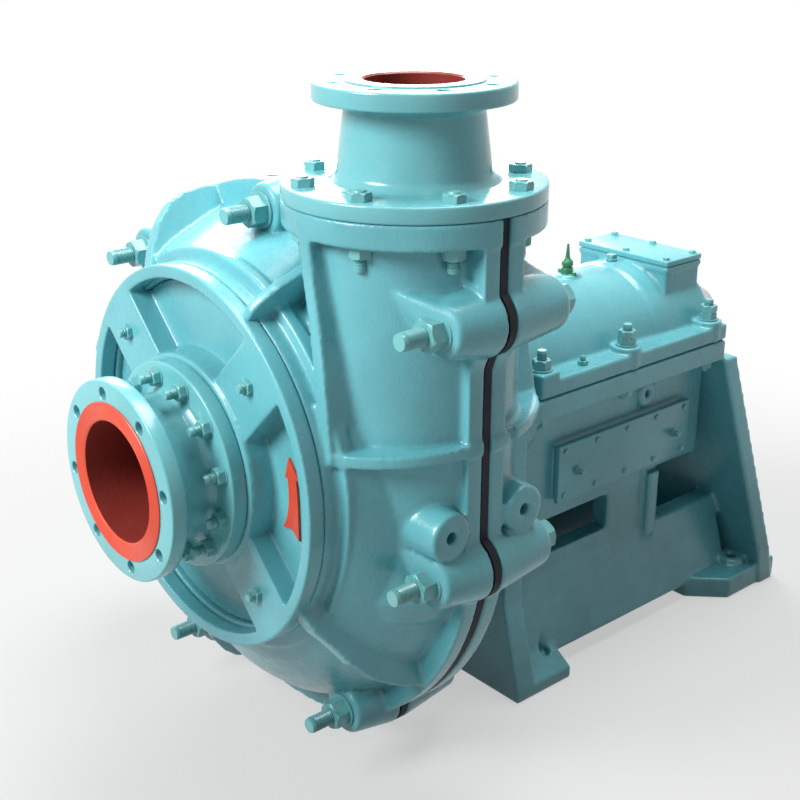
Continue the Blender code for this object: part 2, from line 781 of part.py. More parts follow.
def make_front_casing(shop):
    """Suction-side half of the casing, open in front for the cover."""
    collar_front = COVER_FRONT_Y + COVER_RIM_T + SEAT_GAP
    flange_y = -LINER_LIP_T - CASING_FLANGE_T
    belly = skinned("front", belly_rings(RIDGE_R, CASING_BELLY_R, FRONT_BELLY_Y, flange_y, -LINER_LIP_T))
    collar = turned("collar", [(0, FRONT_BELLY_Y + RIDGE_STEP), (COLLAR_R, FRONT_BELLY_Y + RIDGE_STEP),
                               (COLLAR_R, collar_front), (0, collar_front)], LARGE_SEGMENTS)
    far_ear = cylinder("far_ear", FAR_EAR_R, FAR_EAR_END_X, FAR_EAR_ROOT_X, SMALL_SEGMENTS, "X",
                       (FAR_EAR_Y, FAR_EAR_Z))
    extras = [collar, side_ear(EAR_FRONT_Y), far_ear, bowl_rib(flange_y),
              belly_rib(ARCH_ANGLE, RIDGE_R, FRONT_BELLY_Y, flange_y, ARCH_H, ARCH_T),
              belly_rib(BROW_ANGLE, RIDGE_R, FRONT_BELLY_Y, flange_y, BROW_H, BROW_T)]
    extras += [belly_rib(a, RIDGE_R, FRONT_BELLY_Y, flange_y) for a in FRONT_RIB_ANGLES]
    shell = casing_shell(-1, belly, extras, LUG_FRONT_Y)
    opening = cylinder("opening", COVER_SPIGOT_R + FIT_GAP, collar_front - CUT_OVERRUN, -LINER_LIP_T,
                       LARGE_SEGMENTS)
    cuts = [half_space(-1), casing_inside(FRONT_BELLY_Y, 0, 0), opening,
            neck_inside(NECK_R - CASING_WALL, 0, NECK_TOP_Z + CUT_OVERRUN), ear_hole(EAR_FRONT_Y)]
    cuts += tie_holes(LUG_FRONT_Y - CUT_OVERRUN, 0)
    cuts += neck_flange_holes(NECK_TOP_Z - NECK_FLANGE_T * 2, NECK_TOP_Z + CUT_OVERRUN,
                              BASE_STUD_R + FIT_GAP)
    shop.finish(cut(shell, cuts), "front_casing", "teal_paint")


def make_rear_casing(shop):
    """Drive-side half of the casing, with the seats for the stuffing box and the frame."""
    flange_y = LINER_LIP_T + CASING_FLANGE_T
    belly = skinned("rear", belly_rings(RIDGE_R, CASING_BELLY_R, REAR_BELLY_Y, flange_y, LINER_LIP_T))
    seat = cylinder("seat", REAR_SEAT_R, REAR_BELLY_Y - REAR_WALL_T, REAR_BELLY_Y + REAR_SEAT_H,
                    LARGE_SEGMENTS)
    extras = [seat, side_ear(EAR_REAR_Y)]
    extras += [belly_rib(a, RIDGE_R, REAR_BELLY_Y, flange_y) for a in REAR_RIB_ANGLES]
    shell = casing_shell(1, belly, extras, LUG_REAR_Y)
    recess = block("recess", (CASING_FLAT_X - REAR_RECESS_D, EAR_REAR_Y - REAR_RECESS_W, REAR_RECESS_Z),
                   (CASING_FLAT_X + CUT_OVERRUN, EAR_REAR_Y - REAR_RECESS_W / 2,
                    REAR_RECESS_Z + REAR_RECESS_H))
    box_seat = cylinder("box_seat", BOX_FLANGE_R + FIT_GAP, REAR_BELLY_Y, REAR_BELLY_Y + REAR_SEAT_H
                        + CUT_OVERRUN, MEDIUM_SEGMENTS)
    bore = cylinder("bore", BOX_R + FIT_GAP, 0, REAR_BELLY_Y + CUT_OVERRUN, MEDIUM_SEGMENTS)
    cuts = [half_space(1), casing_inside(REAR_BELLY_Y, 0, 0), bore, box_seat, recess,
            neck_inside(NECK_R - CASING_WALL, 0, NECK_TOP_Z + CUT_OVERRUN), ear_hole(EAR_REAR_Y)]
    cuts += tie_holes(0, LUG_REAR_Y + CUT_OVERRUN)
    cuts += neck_flange_holes(NECK_TOP_Z - NECK_FLANGE_T * 2, NECK_TOP_Z + CUT_OVERRUN,
                              BASE_STUD_R + FIT_GAP)
    shop.finish(cut(shell, cuts), "rear_casing", "teal_paint")


def chamber(wall_y):
    """Pumping chamber on one side of the parting, with a rounded outer edge."""
    side = math.copysign(1, wall_y)
    centre = (CASING_CENTRE_X, CASING_CENTRE_Z)
    edge = CHAMBER_R - CHAMBER_ROUNDING
    profile = [(0, -side * CUT_OVERRUN), (CHAMBER_R, -side * CUT_OVERRUN),
               (CHAMBER_R, wall_y - side * CHAMBER_ROUNDING), (edge, wall_y), (0, wall_y)]
    return turned("chamber", profile, MEDIUM_SEGMENTS, "Y", centre)


def make_liner(shop, name, side, edge_y, wall_y):
    """Rubber liner of one casing half, with the lip that shows in the parting line."""
    body = casing_inside(edge_y, 0, FIT_GAP)
    low, high = sorted((side * SEAT_GAP, side * (LINER_LIP_T - SEAT_GAP)))
    lip = prism("lip", flange_outline(LIP_INSET), low, high, "Y")
    tube = neck_inside(NECK_R - CASING_WALL - FIT_GAP, TUBE_FOOT_Z, NECK_TOP_Z - LIP_INSET)
    solid = join(body, [lip, tube])
    reach = CASING_FLANGE_R * 2
    low, high = sorted((side * SEAT_GAP, -side * reach))
    wall_low, wall_high = sorted((0, edge_y + side * CUT_OVERRUN))
    cuts = [block("trim", (-reach, low, -reach), (reach, high, reach)), chamber(wall_y),
            cylinder("insert", LINER_BORE_R, wall_low, wall_high, MEDIUM_SEGMENTS),
            neck_inside(DISCHARGE_BASE_BORE_R, 0, NECK_TOP_Z + CUT_OVERRUN)]
    cuts += tie_holes(-LINER_LIP_T * 2, LINER_LIP_T * 2)
    shop.finish(cut(solid, cuts), name, "black_rubber")


def make_inserts(shop):
    """Throat bush behind the cover and back liner round the stuffing box."""
    front = COVER_FRONT_Y + COVER_RIM_T + COVER_SPIGOT_T + SEAT_GAP
    profile = [(BUSH_BORE_R, front), (BUSH_R, front), (BUSH_R, CHAMBER_FRONT_Y),
               (BUSH_BORE_R, CHAMBER_FRONT_Y)]
    shop.finish(turned("bush", profile, MEDIUM_SEGMENTS), "throat_bush", "black_rubber")
    rear = REAR_BELLY_Y - CASING_WALL - SEAT_GAP
    profile = [(BACK_LINER_BORE_R, CHAMBER_REAR_Y), (BUSH_R, CHAMBER_REAR_Y), (BUSH_R, rear),
               (BACK_LINER_BORE_R, rear)]
    shop.finish(turned("back", profile, MEDIUM_SEGMENTS), "back_liner", "black_rubber")


# Suction side

def pocket_outline(degrees):
    """Sector between two arms of the cover, from its hub to its rim."""
    half = COVER_ARM_W / 2
    offset = half * math.sqrt(2)
    rim = COVER_R - COVER_RIM_W

    def edge_angle(radius):
        spread = -offset / 2 + math.sqrt(radius ** 2 / 2 - offset ** 2 / 4)
        return math.atan2(spread, offset + spread)

    inner, outer = edge_angle(COVER_HUB_R), edge_angle(rim)
    middle = math.radians(degrees)
    steps = SMALL_SEGMENTS // 2
    points = [(rim * math.cos(middle - outer + 2 * outer * i / steps),
               rim * math.sin(middle - outer + 2 * outer * i / steps)) for i in range(steps + 1)]
    points += [(COVER_HUB_R * math.cos(middle + inner - inner * i),
                COVER_HUB_R * math.sin(middle + inner - inner * i)) for i in range(3)]
    return points


def make_suction_cover(shop):
    """Round cover with four flat arms, pockets between them and a hub."""
    back = COVER_FRONT_Y + COVER_RIM_T
    end = back + COVER_SPIGOT_T
    bore = SUCTION_SPIGOT_R + FIT_GAP
    profile = [(bore, COVER_FRONT_Y - COVER_HUB_H), (COVER_HUB_R, COVER_FRONT_Y - COVER_HUB_H),
               (COVER_HUB_R, COVER_FRONT_Y), (COVER_R, COVER_FRONT_Y), (COVER_R, back),
               (COVER_SPIGOT_R, back), (COVER_SPIGOT_R, end), (COVER_SPIGOT_R - COVER_BACK_WALL, end),
               (COVER_SPIGOT_R - COVER_BACK_WALL, end - COVER_BACK_D),
               (bore + COVER_BACK_WALL, end - COVER_BACK_D), (bore + COVER_BACK_WALL, end), (bore, end)]
    disc = turned("disc", profile, LARGE_SEGMENTS)
    pockets = [prism("pocket", pocket_outline(a + 45), COVER_FRONT_Y - CUT_OVERRUN,
                     COVER_FRONT_Y + COVER_POCKET_D, "Y") for a in COVER_ARM_ANGLES]
    shop.finish(cut(disc, pockets), "suction_cover", "teal_paint")


def make_suction_pipe(shop):
    """Short suction pipe between its own flange and the clamp flange."""
    seat = COVER_FRONT_Y - COVER_HUB_H - SEAT_GAP
    face = SUCTION_FACE_Y + SUCTION_RAISED_H
    back = face + SUCTION_FLANGE_T
    clamp = seat - CLAMP_FLANGE_T
    end = COVER_FRONT_Y + COVER_RIM_T + COVER_SPIGOT_T
    profile = [(SUCTION_BORE_R, SUCTION_FACE_Y), (SUCTION_RAISED_R, SUCTION_FACE_Y),
               (SUCTION_RAISED_R, face), (SUCTION_FLANGE_R, face), (SUCTION_FLANGE_R, back),
               (SUCTION_NECK_R, back), (SUCTION_PIPE_R, back + SUCTION_NECK_L), (SUCTION_PIPE_R, clamp),
               (CLAMP_FLANGE_R, clamp), (CLAMP_FLANGE_R, seat), (SUCTION_SPIGOT_R, seat),
               (SUCTION_SPIGOT_R, end), (SUCTION_BORE_R, end)]
    pipe = turned("pipe", profile, MEDIUM_SEGMENTS)
    holes = [cylinder("hole", SUCTION_HOLE_R, SUCTION_FACE_Y - CUT_OVERRUN, back + CUT_OVERRUN,
                      STUD_SEGMENTS, "Y", place)
             for place in ring_points(SUCTION_BOLT_RING_R, SUCTION_HOLES, (0, 0), SUCTION_HOLE_PHASE)]
    shop.finish(cut(pipe, holes), "suction_pipe", "teal_paint")


# Discharge side

def make_discharge_pipe(shop):
    """Cone between the casing's square-off and the pipeline flange."""
    base = NECK_TOP_Z + SEAT_GAP
    top = DISCHARGE_TOP_Z - DISCHARGE_RAISED_H
    profile = [(DISCHARGE_BASE_BORE_R, base), (NECK_FLANGE_R, base), (NECK_FLANGE_R, base + BASE_FLANGE_T),
               (DISCHARGE_CONE_BASE_R, base + BASE_FLANGE_T),
               (DISCHARGE_CONE_TOP_R, top - DISCHARGE_FLANGE_T),
               (DISCHARGE_FLANGE_R, top - DISCHARGE_FLANGE_T), (DISCHARGE_FLANGE_R, top),
               (DISCHARGE_RAISED_R, top), (DISCHARGE_RAISED_R, DISCHARGE_TOP_Z),
               (DISCHARGE_BORE_R, DISCHARGE_TOP_Z)]
    pipe = turned("discharge", profile, MEDIUM_SEGMENTS, "Z", (NECK_X, 0))
    holes = [cylinder("hole", DISCHARGE_HOLE_R, top - DISCHARGE_FLANGE_T - CUT_OVERRUN,
                      DISCHARGE_TOP_Z + CUT_OVERRUN, STUD_SEGMENTS, "Z", place)
             for place in ring_points(DISCHARGE_BOLT_RING_R, DISCHARGE_HOLES, (NECK_X, 0),
                                      DISCHARGE_HOLE_PHASE)]
    holes += neck_flange_holes(base - CUT_OVERRUN, base + BASE_FLANGE_T + CUT_OVERRUN,
                               BASE_STUD_R + FIT_GAP)
    shop.finish(cut(pipe, holes), "discharge_pipe", "teal_paint")


def make_discharge_bolts(shop):
    """Eight bolts between the neck flange and the discharge pipe."""
    grip = NECK_FLANGE_T + SEAT_GAP + BASE_FLANGE_T
    base = NECK_TOP_Z - NECK_FLANGE_T
    places = ring_points(BASE_BOLT_RING_R, BASE_BOLTS, (NECK_X, 0), BASE_BOLT_PHASE)
    first = None
    for number, (x, y) in enumerate(places, 1):
        if first is None:
            first = prism("bolt", ring_points(BASE_STUD_R, STUD_SEGMENTS),
                          -BASE_NUT_H - BASE_STUD_TAIL, grip + BASE_HEAD_H / 2, "Z")
            nut = prism("nut", hex_points(BASE_NUT_R), -BASE_NUT_H - SEAT_GAP, -SEAT_GAP, "Z")
            head = prism("head", hex_points(BASE_NUT_R), grip + SEAT_GAP, grip + BASE_HEAD_H, "Z")
            item = join(first, [nut, head])
            first = item
        else:
            item = bpy.data.objects.new("bolt", first.data)
            bpy.context.scene.collection.objects.link(item)
        shop.finish(item, f"discharge_bolt_{number}", "dark_teal_paint", (x, y, base))


def make_tie_bolts(shop):
    """Seven studs that close the casing, each with a nut at both ends."""
    low, high = LUG_FRONT_Y, LUG_REAR_Y
    first = None
    for number, (x, z) in enumerate(tie_places(), 1):
        if first is None:
            stud = prism("stud", ring_points(TIE_STUD_R, STUD_SEGMENTS), low - TIE_NUT_H - TIE_TAIL,
                         high + TIE_NUT_H + TIE_STUD_R / 2, "Y")
            nuts = [prism("nut", hex_points(TIE_NUT_R), low - TIE_NUT_H, low - SEAT_GAP, "Y"),
                    prism("nut", hex_points(TIE_NUT_R), high + SEAT_GAP, high + TIE_NUT_H, "Y")]
            item = join(stud, nuts)
            first = item
        else:
            item = bpy.data.objects.new("tie", first.data)
            bpy.context.scene.collection.objects.link(item)
        shop.finish(item, f"tie_bolt_{number}", "dark_teal_paint", (x, 0, z))


# Rotor

def vane_outline(start):
    """Plan of one backward-curved vane, thickest in its middle."""
    outer_r = IMPELLER_R - VANE_T / 3
    front, back = [], []
    for i in range(VANE_STEPS + 1):
        share = i / VANE_STEPS
        radius = VANE_INNER_R + (outer_r - VANE_INNER_R) * share
        angle = start - VANE_WRAP * math.log(radius / VANE_INNER_R) / math.log(outer_r / VANE_INNER_R)
        swell = (1 - VANE_TIP_SHARE) * math.sin(math.pi * min(1, share + VANE_LEAD_SHARE))
        spread = VANE_T / 2 * (VANE_TIP_SHARE + swell) / radius * VANE_SPREAD_SHARE
        front.append((radius * math.cos(angle + spread), radius * math.sin(angle + spread)))
        back.append((radius * math.cos(angle - spread), radius * math.sin(angle - spread)))
    return front + back[::-1]


def impeller_faces():
    """Front and rear planes of the impeller between the wear gaps."""
    return CHAMBER_FRONT_Y + WEAR_GAP, CHAMBER_REAR_Y - WEAR_GAP


def make_impeller(shop):
    """Closed impeller: two shrouds, five curved vanes and a hub on the shaft's nose."""
    front, rear = impeller_faces()
    rear_in = rear - REAR_SHROUD_T
    front_in = front + FRONT_SHROUD_T
    back = turned("back", [(0, IMPELLER_NOSE_Y), (NOSE_R, IMPELLER_NOSE_Y + WEAR_GAP),
                           (IMPELLER_HUB_R, rear_in - EXIT_TAPER * 2),
                           (IMPELLER_R * 2 / 3, rear_in - EXIT_TAPER / 3),
                           (IMPELLER_R, rear_in), (IMPELLER_R, rear), (0, rear)], MEDIUM_SEGMENTS)
    eye = turned("eye", [(IMPELLER_EYE_R, front), (IMPELLER_R, front), (IMPELLER_R, front_in + EXIT_TAPER),
                         (IMPELLER_EYE_R, front_in)], MEDIUM_SEGMENTS)
    vanes = [prism("vane", vane_outline(math.tau * i / VANES), front_in - WELD_DEPTH, rear_in + WELD_DEPTH,
                   "Y") for i in range(VANES)]
    wheel = join(back, vanes)
    join(wheel, [eye])
    bore = cylinder("bore", NOSE_R + FIT_GAP, NOSE_Y - FIT_GAP, rear + CUT_OVERRUN, MEDIUM_SEGMENTS)
    shop.finish(cut(wheel, [bore]), "impeller", "wear_iron")


def bearing_span(y):
    """Front and rear face of a bearing that starts at y."""
    return y, y + BEARING_W


def make_shaft(shop):
    """Stepped shaft from the impeller's nose to the coupling end, with its keyway."""
    _, rear = impeller_faces()
    front_start, _ = bearing_span(FRONT_BEARING_Y)
    _, rear_end = bearing_span(REAR_BEARING_Y)
    nut_end = rear_end + SEAT_GAP + LOCK_NUT_T
    profile = [(0, NOSE_Y), (NOSE_R, NOSE_Y), (NOSE_R, rear + SEAT_GAP), (SLEEVE_SEAT_R, rear + SEAT_GAP),
               (SLEEVE_SEAT_R, SLEEVE_END_Y + SEAT_GAP), (SEAL_R, SLEEVE_END_Y + SEAT_GAP),
               (SEAL_R, front_start), (BEARING_BORE_R, front_start),
               (BEARING_BORE_R, front_start + BEARING_W), (SHAFT_BODY_R, front_start + BEARING_W + SEAT_GAP),
               (SHAFT_BODY_R, REAR_BEARING_Y - SEAT_GAP), (BEARING_BORE_R, REAR_BEARING_Y),
               (BEARING_BORE_R, rear_end), (SEAL_R, rear_end + SEAT_GAP), (SEAL_R, nut_end + CAP_T * 2),
               (COUPLING_R, nut_end + CAP_T * 2), (COUPLING_R, SHAFT_END_Y), (0, SHAFT_END_Y)]
    shaft = turned("shaft", profile, MEDIUM_SEGMENTS)
    slot = block("slot", (-KEY_W / 2 - SEAT_GAP, SHAFT_END_Y - KEY_INSET - KEY_L - SEAT_GAP,
                          COUPLING_R - KEY_DEPTH - SEAT_GAP),
                 (KEY_W / 2 + SEAT_GAP, SHAFT_END_Y - KEY_INSET + SEAT_GAP, COUPLING_R + CUT_OVERRUN))
    shop.finish(cut(shaft, [slot]), "shaft", "bright_steel")
    key = block("key", (-KEY_W / 2, SHAFT_END_Y - KEY_INSET - KEY_L, COUPLING_R - KEY_DEPTH),
                (KEY_W / 2, SHAFT_END_Y - KEY_INSET, COUPLING_R - KEY_DEPTH + KEY_H))
    shop.finish(key, "shaft_key", "bright_steel")


def ring(name, inner_r, outer_r, low, high, segments=MEDIUM_SEGMENTS):
    """Plain ring round the shaft."""
    return turned(name, [(inner_r, low), (outer_r, low), (outer_r, high), (inner_r, high)], segments)


def make_shaft_sleeve(shop):
    """Sleeve that the packing runs on."""
    _, rear = impeller_faces()
    sleeve = ring("sleeve", SLEEVE_SEAT_R + SEAT_GAP, SLEEVE_R, rear + SEAT_GAP, SLEEVE_END_Y)
    shop.finish(sleeve, "shaft_sleeve", "bright_steel")


def make_bearing(shop, label, y):
    """Outer ring, inner ring and roller set of one bearing."""
    low, high = bearing_span(y)
    outer = ring("outer", OUTER_RACE_R, BEARING_R, low, high)
    shop.finish(outer, f"{label}_bearing_outer_ring", "bright_steel")
    inner = ring("inner", BEARING_BORE_R + SEAT_GAP, INNER_RACE_R, low + SEAT_GAP, high)
    shop.finish(inner, f"{label}_bearing_inner_ring", "bright_steel")
    middle = (OUTER_RACE_R + INNER_RACE_R) / 2
    roller_r = (OUTER_RACE_R - INNER_RACE_R) / 2 - ROLLER_GAP
    centre_y = (low + high) / 2
    cage = ring("cage", middle - CAGE_T / 2, middle + CAGE_T / 2, centre_y - CAGE_W / 2,
                centre_y + CAGE_W / 2)
    rollers = [cylinder("roller", roller_r, centre_y - ROLLER_W / 2, centre_y + ROLLER_W / 2,
                        STUD_SEGMENTS, "Y", place) for place in ring_points(middle, ROLLERS)]
    shop.finish(join(cage, rollers), f"{label}_roller_set", "bright_steel")


def make_lock_nut(shop):
    """Slotted nut that holds the rear bearing on the shaft."""
    _, rear_end = bearing_span(REAR_BEARING_Y)
    low = rear_end + SEAT_GAP
    nut = ring("nut", SEAL_R + SEAT_GAP, LOCK_NUT_R, low, low + LOCK_NUT_T)
    slots = []
    for x, z in ring_points(LOCK_NUT_R, LOCK_NUT_SLOTS):
        half_x = LOCK_NUT_SLOT_D if abs(x) > abs(z) else LOCK_NUT_SLOT_W / 2
        half_z = LOCK_NUT_SLOT_D if abs(z) > abs(x) else LOCK_NUT_SLOT_W / 2
        slots.append(block("slot", (x - half_x, low - CUT_OVERRUN, z - half_z),
                           (x + half_x, low + LOCK_NUT_T + CUT_OVERRUN, z + half_z)))
    shop.finish(cut(nut, slots), "bearing_lock_nut", "bright_steel")


# Stuffing box and gland

def make_stuffing_box(shop):
    """Box in the rear casing with lantern ring, packing and the two gland studs."""
    seat = REAR_BELLY_Y + SEAT_GAP
    front = CHAMBER_REAR_Y
    bottom = front + BOX_THROAT_L
    profile = [(BOX_THROAT_R, front), (BOX_R, front), (BOX_R, seat), (BOX_FLANGE_R, seat),
               (BOX_FLANGE_R, seat + BOX_FLANGE_T), (BOX_R, seat + BOX_FLANGE_T), (BOX_R, BOX_END_Y),
               (BOX_BORE_R, BOX_END_Y), (BOX_BORE_R, bottom), (BOX_THROAT_R, bottom)]
    box = turned("box", profile, MEDIUM_SEGMENTS)
    shop.finish(box, "stuffing_box", "teal_paint")
    inner, outer = SLEEVE_R + FIT_GAP, BOX_BORE_R - FIT_GAP
    start = bottom + SEAT_GAP
    waist = [(inner, start), (outer, start), (outer - LANTERN_WAIST, start + LANTERN_L / 3),
             (outer - LANTERN_WAIST, start + LANTERN_L * 2 / 3), (outer, start + LANTERN_L),
             (inner, start + LANTERN_L)]
    shop.finish(turned("lantern", waist, MEDIUM_SEGMENTS), "lantern_ring", "brass")
    start += LANTERN_L + SEAT_GAP
    for number in range(1, PACKING_RINGS + 1):
        piece = ring("packing", inner, outer, start, start + PACKING_L)
        shop.finish(piece, f"packing_ring_{number}", "packing")
        start += PACKING_L + SEAT_GAP
    return start


def make_gland(shop, packing_end):
    """Gland that presses the packing, drawn in by two studs, with its nuts."""
    face = BOX_END_Y + GLAND_STAND_OFF
    bore = SLEEVE_R + GLAND_BORE_GAP
    profile = [(bore, packing_end), (BOX_BORE_R - FIT_GAP, packing_end), (BOX_BORE_R - FIT_GAP, face),
               (GLAND_FLANGE_R, face), (GLAND_FLANGE_R, face + GLAND_FLANGE_T),
               (bore, face + GLAND_FLANGE_T)]
    gland = turned("gland", profile, MEDIUM_SEGMENTS)
    back = face + GLAND_FLANGE_T
    nuts = [screw_head("nut", (side * GLAND_STUD_RING_R, 0), back, 1, GLAND_NUT_R, GLAND_NUT_H, "Y")
            for side in (-1, 1)]
    join(gland, nuts)
    holes = [cylinder("hole", GLAND_STUD_R + FIT_GAP, face - CUT_OVERRUN, back + GLAND_NUT_H + CUT_OVERRUN,
                      STUD_SEGMENTS, "Y", (side * GLAND_STUD_RING_R, 0)) for side in (-1, 1)]
    shop.finish(cut(gland, holes), "packing_gland", "brass")
    end = back + GLAND_NUT_H + GLAND_TRAVEL + GLAND_STUD_SPARE
    for number, side in enumerate((-1, 1), 1):
        stud = cylinder("stud", GLAND_STUD_R, BOX_END_Y + SEAT_GAP, end, STUD_SEGMENTS, "Y",
                        (side * GLAND_STUD_RING_R, 0))
        shop.finish(stud, f"gland_stud_{number}", "bright_steel")


# Bearing housing

def housing_bores(gap):
    """Bearing seats, the oil space between them and the open ends, as one turned cutter."""
    front_low, front_high = bearing_span(FRONT_BEARING_Y)
    rear_low, rear_high = bearing_span(REAR_BEARING_Y)
    seat = BEARING_R + gap
    profile = [(0, HOUSING_FRONT_Y - CUT_OVERRUN), (seat, HOUSING_FRONT_Y - CUT_OVERRUN),
               (seat, front_high + CAP_T / 2), (HOUSING_CAVITY_R, front_high + CAP_T),
               (HOUSING_CAVITY_R, rear_low - CAP_T), (seat, rear_low - CAP_T / 2),
               (seat, HOUSING_REAR_Y + CUT_OVERRUN), (0, HOUSING_REAR_Y + CUT_OVERRUN)]
    return turned("bores", profile, MEDIUM_SEGMENTS)


def cover_bolt_places():
    """Places of the six studs of the housing split, seen from above."""
    front = SPLIT_FRONT_Y + CORNER_BLOCK_L / 2
    return [(side * COVER_BOLT_X, y) for side in (-1, 1)
            for y in (front, COVER_BOLT_MID_Y, COVER_BOLT_REAR_Y)]


def cover_bolt_seat(y):
    """Height of the face under a nut of the split."""
    return BOSS_H if y > SPLIT_FRONT_Y + CORNER_BLOCK_L else CORNER_BLOCK_H


def make_bearing_cover(shop):
    """Upper half of the bearing housing, with its flange, bosses and inspection box."""
    low = SEAT_GAP
    barrel = cylinder("barrel", COVER_BARREL_R, HOUSING_FRONT_Y, HOUSING_REAR_Y, MEDIUM_SEGMENTS)
    forms = [block("flange", (-SPLIT_HALF_W, SPLIT_FRONT_Y, low),
                   (SPLIT_HALF_W, HOUSING_REAR_Y, UPPER_FLANGE_T)),
             block("box", (-BOX_HALF_X, BOX_FRONT_Y, low), (BOX_HALF_X, BOX_REAR_Y, BOX_TOP_Z)),
             cylinder("breather_boss", BREATHER_BASE_R, COVER_BARREL_R / 2,
                      COVER_BARREL_R + BREATHER_BASE_H, SMALL_SEGMENTS, "Z", (0, BREATHER_Y)),
             cylinder("plug_boss", PLUG_BOSS_R, COVER_BARREL_R / 2, COVER_BARREL_R + PLUG_BOSS_H,
                      SMALL_SEGMENTS, "Z", (0, PLUG_Y))]
    for x, y in cover_bolt_places():
        if cover_bolt_seat(y) == CORNER_BLOCK_H:
            side = math.copysign(1, x)
            near, far = sorted((side * SPLIT_HALF_W, side * (SPLIT_HALF_W - CORNER_BLOCK_W)))
            forms.append(block("corner", (near, SPLIT_FRONT_Y, low),
                               (far, SPLIT_FRONT_Y + CORNER_BLOCK_L, CORNER_BLOCK_H)))
        else:
            forms.append(cylinder("boss", BOSS_R, low, BOSS_H, SMALL_SEGMENTS, "Z", (x, y)))
    join(barrel, forms)
    reach = SPLIT_HALF_W * 2
    well = block("well", (-BOX_HALF_X + BOX_WELL_WALL, BOX_FRONT_Y + BOX_WELL_WALL, BOX_TOP_Z - BOX_WELL_D),
                 (BOX_HALF_X - BOX_WELL_WALL, BOX_REAR_Y - BOX_WELL_WALL, BOX_TOP_Z + CUT_OVERRUN))
    cuts = [block("under", (-reach, HOUSING_FRONT_Y - CUT_OVERRUN, -reach),
                  (reach, HOUSING_REAR_Y + CUT_OVERRUN, low)), housing_bores(FIT_GAP), well]
    cuts += [cylinder("hole", COVER_STUD_R + FIT_GAP, -CUT_OVERRUN, BOX_TOP_Z, STUD_SEGMENTS, "Z", place)
             for place in cover_bolt_places()]
    shop.finish(cut(barrel, cuts), "bearing_cover", "teal_paint")


def make_cover_bolts(shop):
    """Six studs of the housing split with double nuts on top and a nut below."""
    for number, (x, y) in enumerate(cover_bolt_places(), 1):
        seat = cover_bolt_seat(y)
        stud = prism("stud", ring_points(COVER_STUD_R, STUD_SEGMENTS), -LOWER_FLANGE_T - COVER_NUT_H
                     - COVER_STUD_TAIL / 2, seat + COVER_NUT_H * 2 + COVER_STUD_TAIL, "Z")
        upper = prism("nut", hex_points(COVER_NUT_R), seat + SEAT_GAP, seat + COVER_NUT_H * 2, "Z")
        lower = prism("nut", hex_points(COVER_NUT_R), -LOWER_FLANGE_T - COVER_NUT_H,
                      -LOWER_FLANGE_T - SEAT_GAP, "Z")
        shop.finish(join(stud, [upper, lower]), f"cover_bolt_{number}", "dark_teal_paint", (x, y, 0))


def make_box_lid(shop):
    """Lid of the inspection box."""
    base = BOX_TOP_Z + SEAT_GAP
    lid = block("lid", (-BOX_HALF_X - LID_OVERHANG, BOX_FRONT_Y - LID_OVERHANG, base),
                (BOX_HALF_X + LID_OVERHANG, BOX_REAR_Y + LID_OVERHANG, base + LID_T))
    shop.finish(lid, "inspection_lid", "teal_paint")


def make_cover_fittings(shop):
    """Breather and filler plug on top of the barrel."""
    base = COVER_BARREL_R + BREATHER_BASE_H + SEAT_GAP
    profile = [(0, base), (BREATHER_R, base), (BREATHER_R, base + BREATHER_BASE_H),
               (BREATHER_R * 3 / 4, base + BREATHER_BASE_H * 2), (BREATHER_TIP_R, base + BREATHER_H),
               (0, base + BREATHER_H)]
    breather = turned("breather", profile, SMALL_SEGMENTS, "Z", (0, BREATHER_Y))
    shop.finish(breather, "breather", "dark_teal_paint")
    base = COVER_BARREL_R + PLUG_BOSS_H + SEAT_GAP
    plug = block("plug", (-PLUG_HALF, PLUG_Y - PLUG_HALF, base),
                 (PLUG_HALF, PLUG_Y + PLUG_HALF, base + PLUG_H))
    shop.finish(plug, "filler_plug", "teal_paint")


def make_end_caps(shop):
    """Bearing caps on both ends of the housing and the shaft seals in them."""
    for label, face, out in (("front", HOUSING_FRONT_Y, -1), ("rear", HOUSING_REAR_Y, 1)):
        seat = face + out * SEAT_GAP
        far = seat + out * CAP_T
        nose = face - out * CAP_SPIGOT_L
        bore = SEAL_OUTER_R
        lip = SEAL_R + GLAND_BORE_GAP
        profile = [(bore, nose), (BEARING_R - FIT_GAP, nose), (BEARING_R - FIT_GAP, seat), (CAP_R, seat),
                   (CAP_R, far), (lip, far), (lip, far - out * (CAP_T - SEAL_T)),
                   (bore, far - out * (CAP_T - SEAL_T))]
        cap = turned("cap", profile, MEDIUM_SEGMENTS)
        shop.finish(cap, f"{label}_end_cap", "teal_paint")
        inner = far - out * (CAP_T - SEAL_T) - out * SEAT_GAP
        low, high = sorted((inner, inner - out * SEAL_T))
        seal = ring("seal", SEAL_R + FIT_GAP, SEAL_OUTER_R - SEAT_GAP, low, high)
        shop.finish(seal, f"{label}_shaft_seal", "black_rubber")


def make_side_plate(shop):
    """Cover plate on the flank of the oil sump."""
    seat = SUMP_HALF_W + SIDE_PAD_T + SEAT_GAP
    far = seat + SIDE_PLATE_T
    plate = block("plate", (seat, SIDE_PLATE_FRONT_Y, SIDE_PLATE_BOTTOM_Z),
                  (far, SIDE_PLATE_REAR_Y, SIDE_PLATE_TOP_Z))
    shop.finish(plate, "side_cover_plate", "teal_paint")


# Bearing frame

def adapter():
    """Ring between the rear casing and the front plate, with its flange."""
    front = REAR_BELLY_Y + REAR_SEAT_H + SEAT_GAP
    inner = front + ADAPTER_FLANGE_T
    profile = [(0, front), (REAR_SEAT_R, front), (REAR_SEAT_R, inner), (ADAPTER_R, inner),
               (ADAPTER_R, SPLIT_FRONT_Y + WELD_DEPTH), (0, SPLIT_FRONT_Y + WELD_DEPTH)]
    return turned("adapter", profile, LARGE_SEGMENTS)


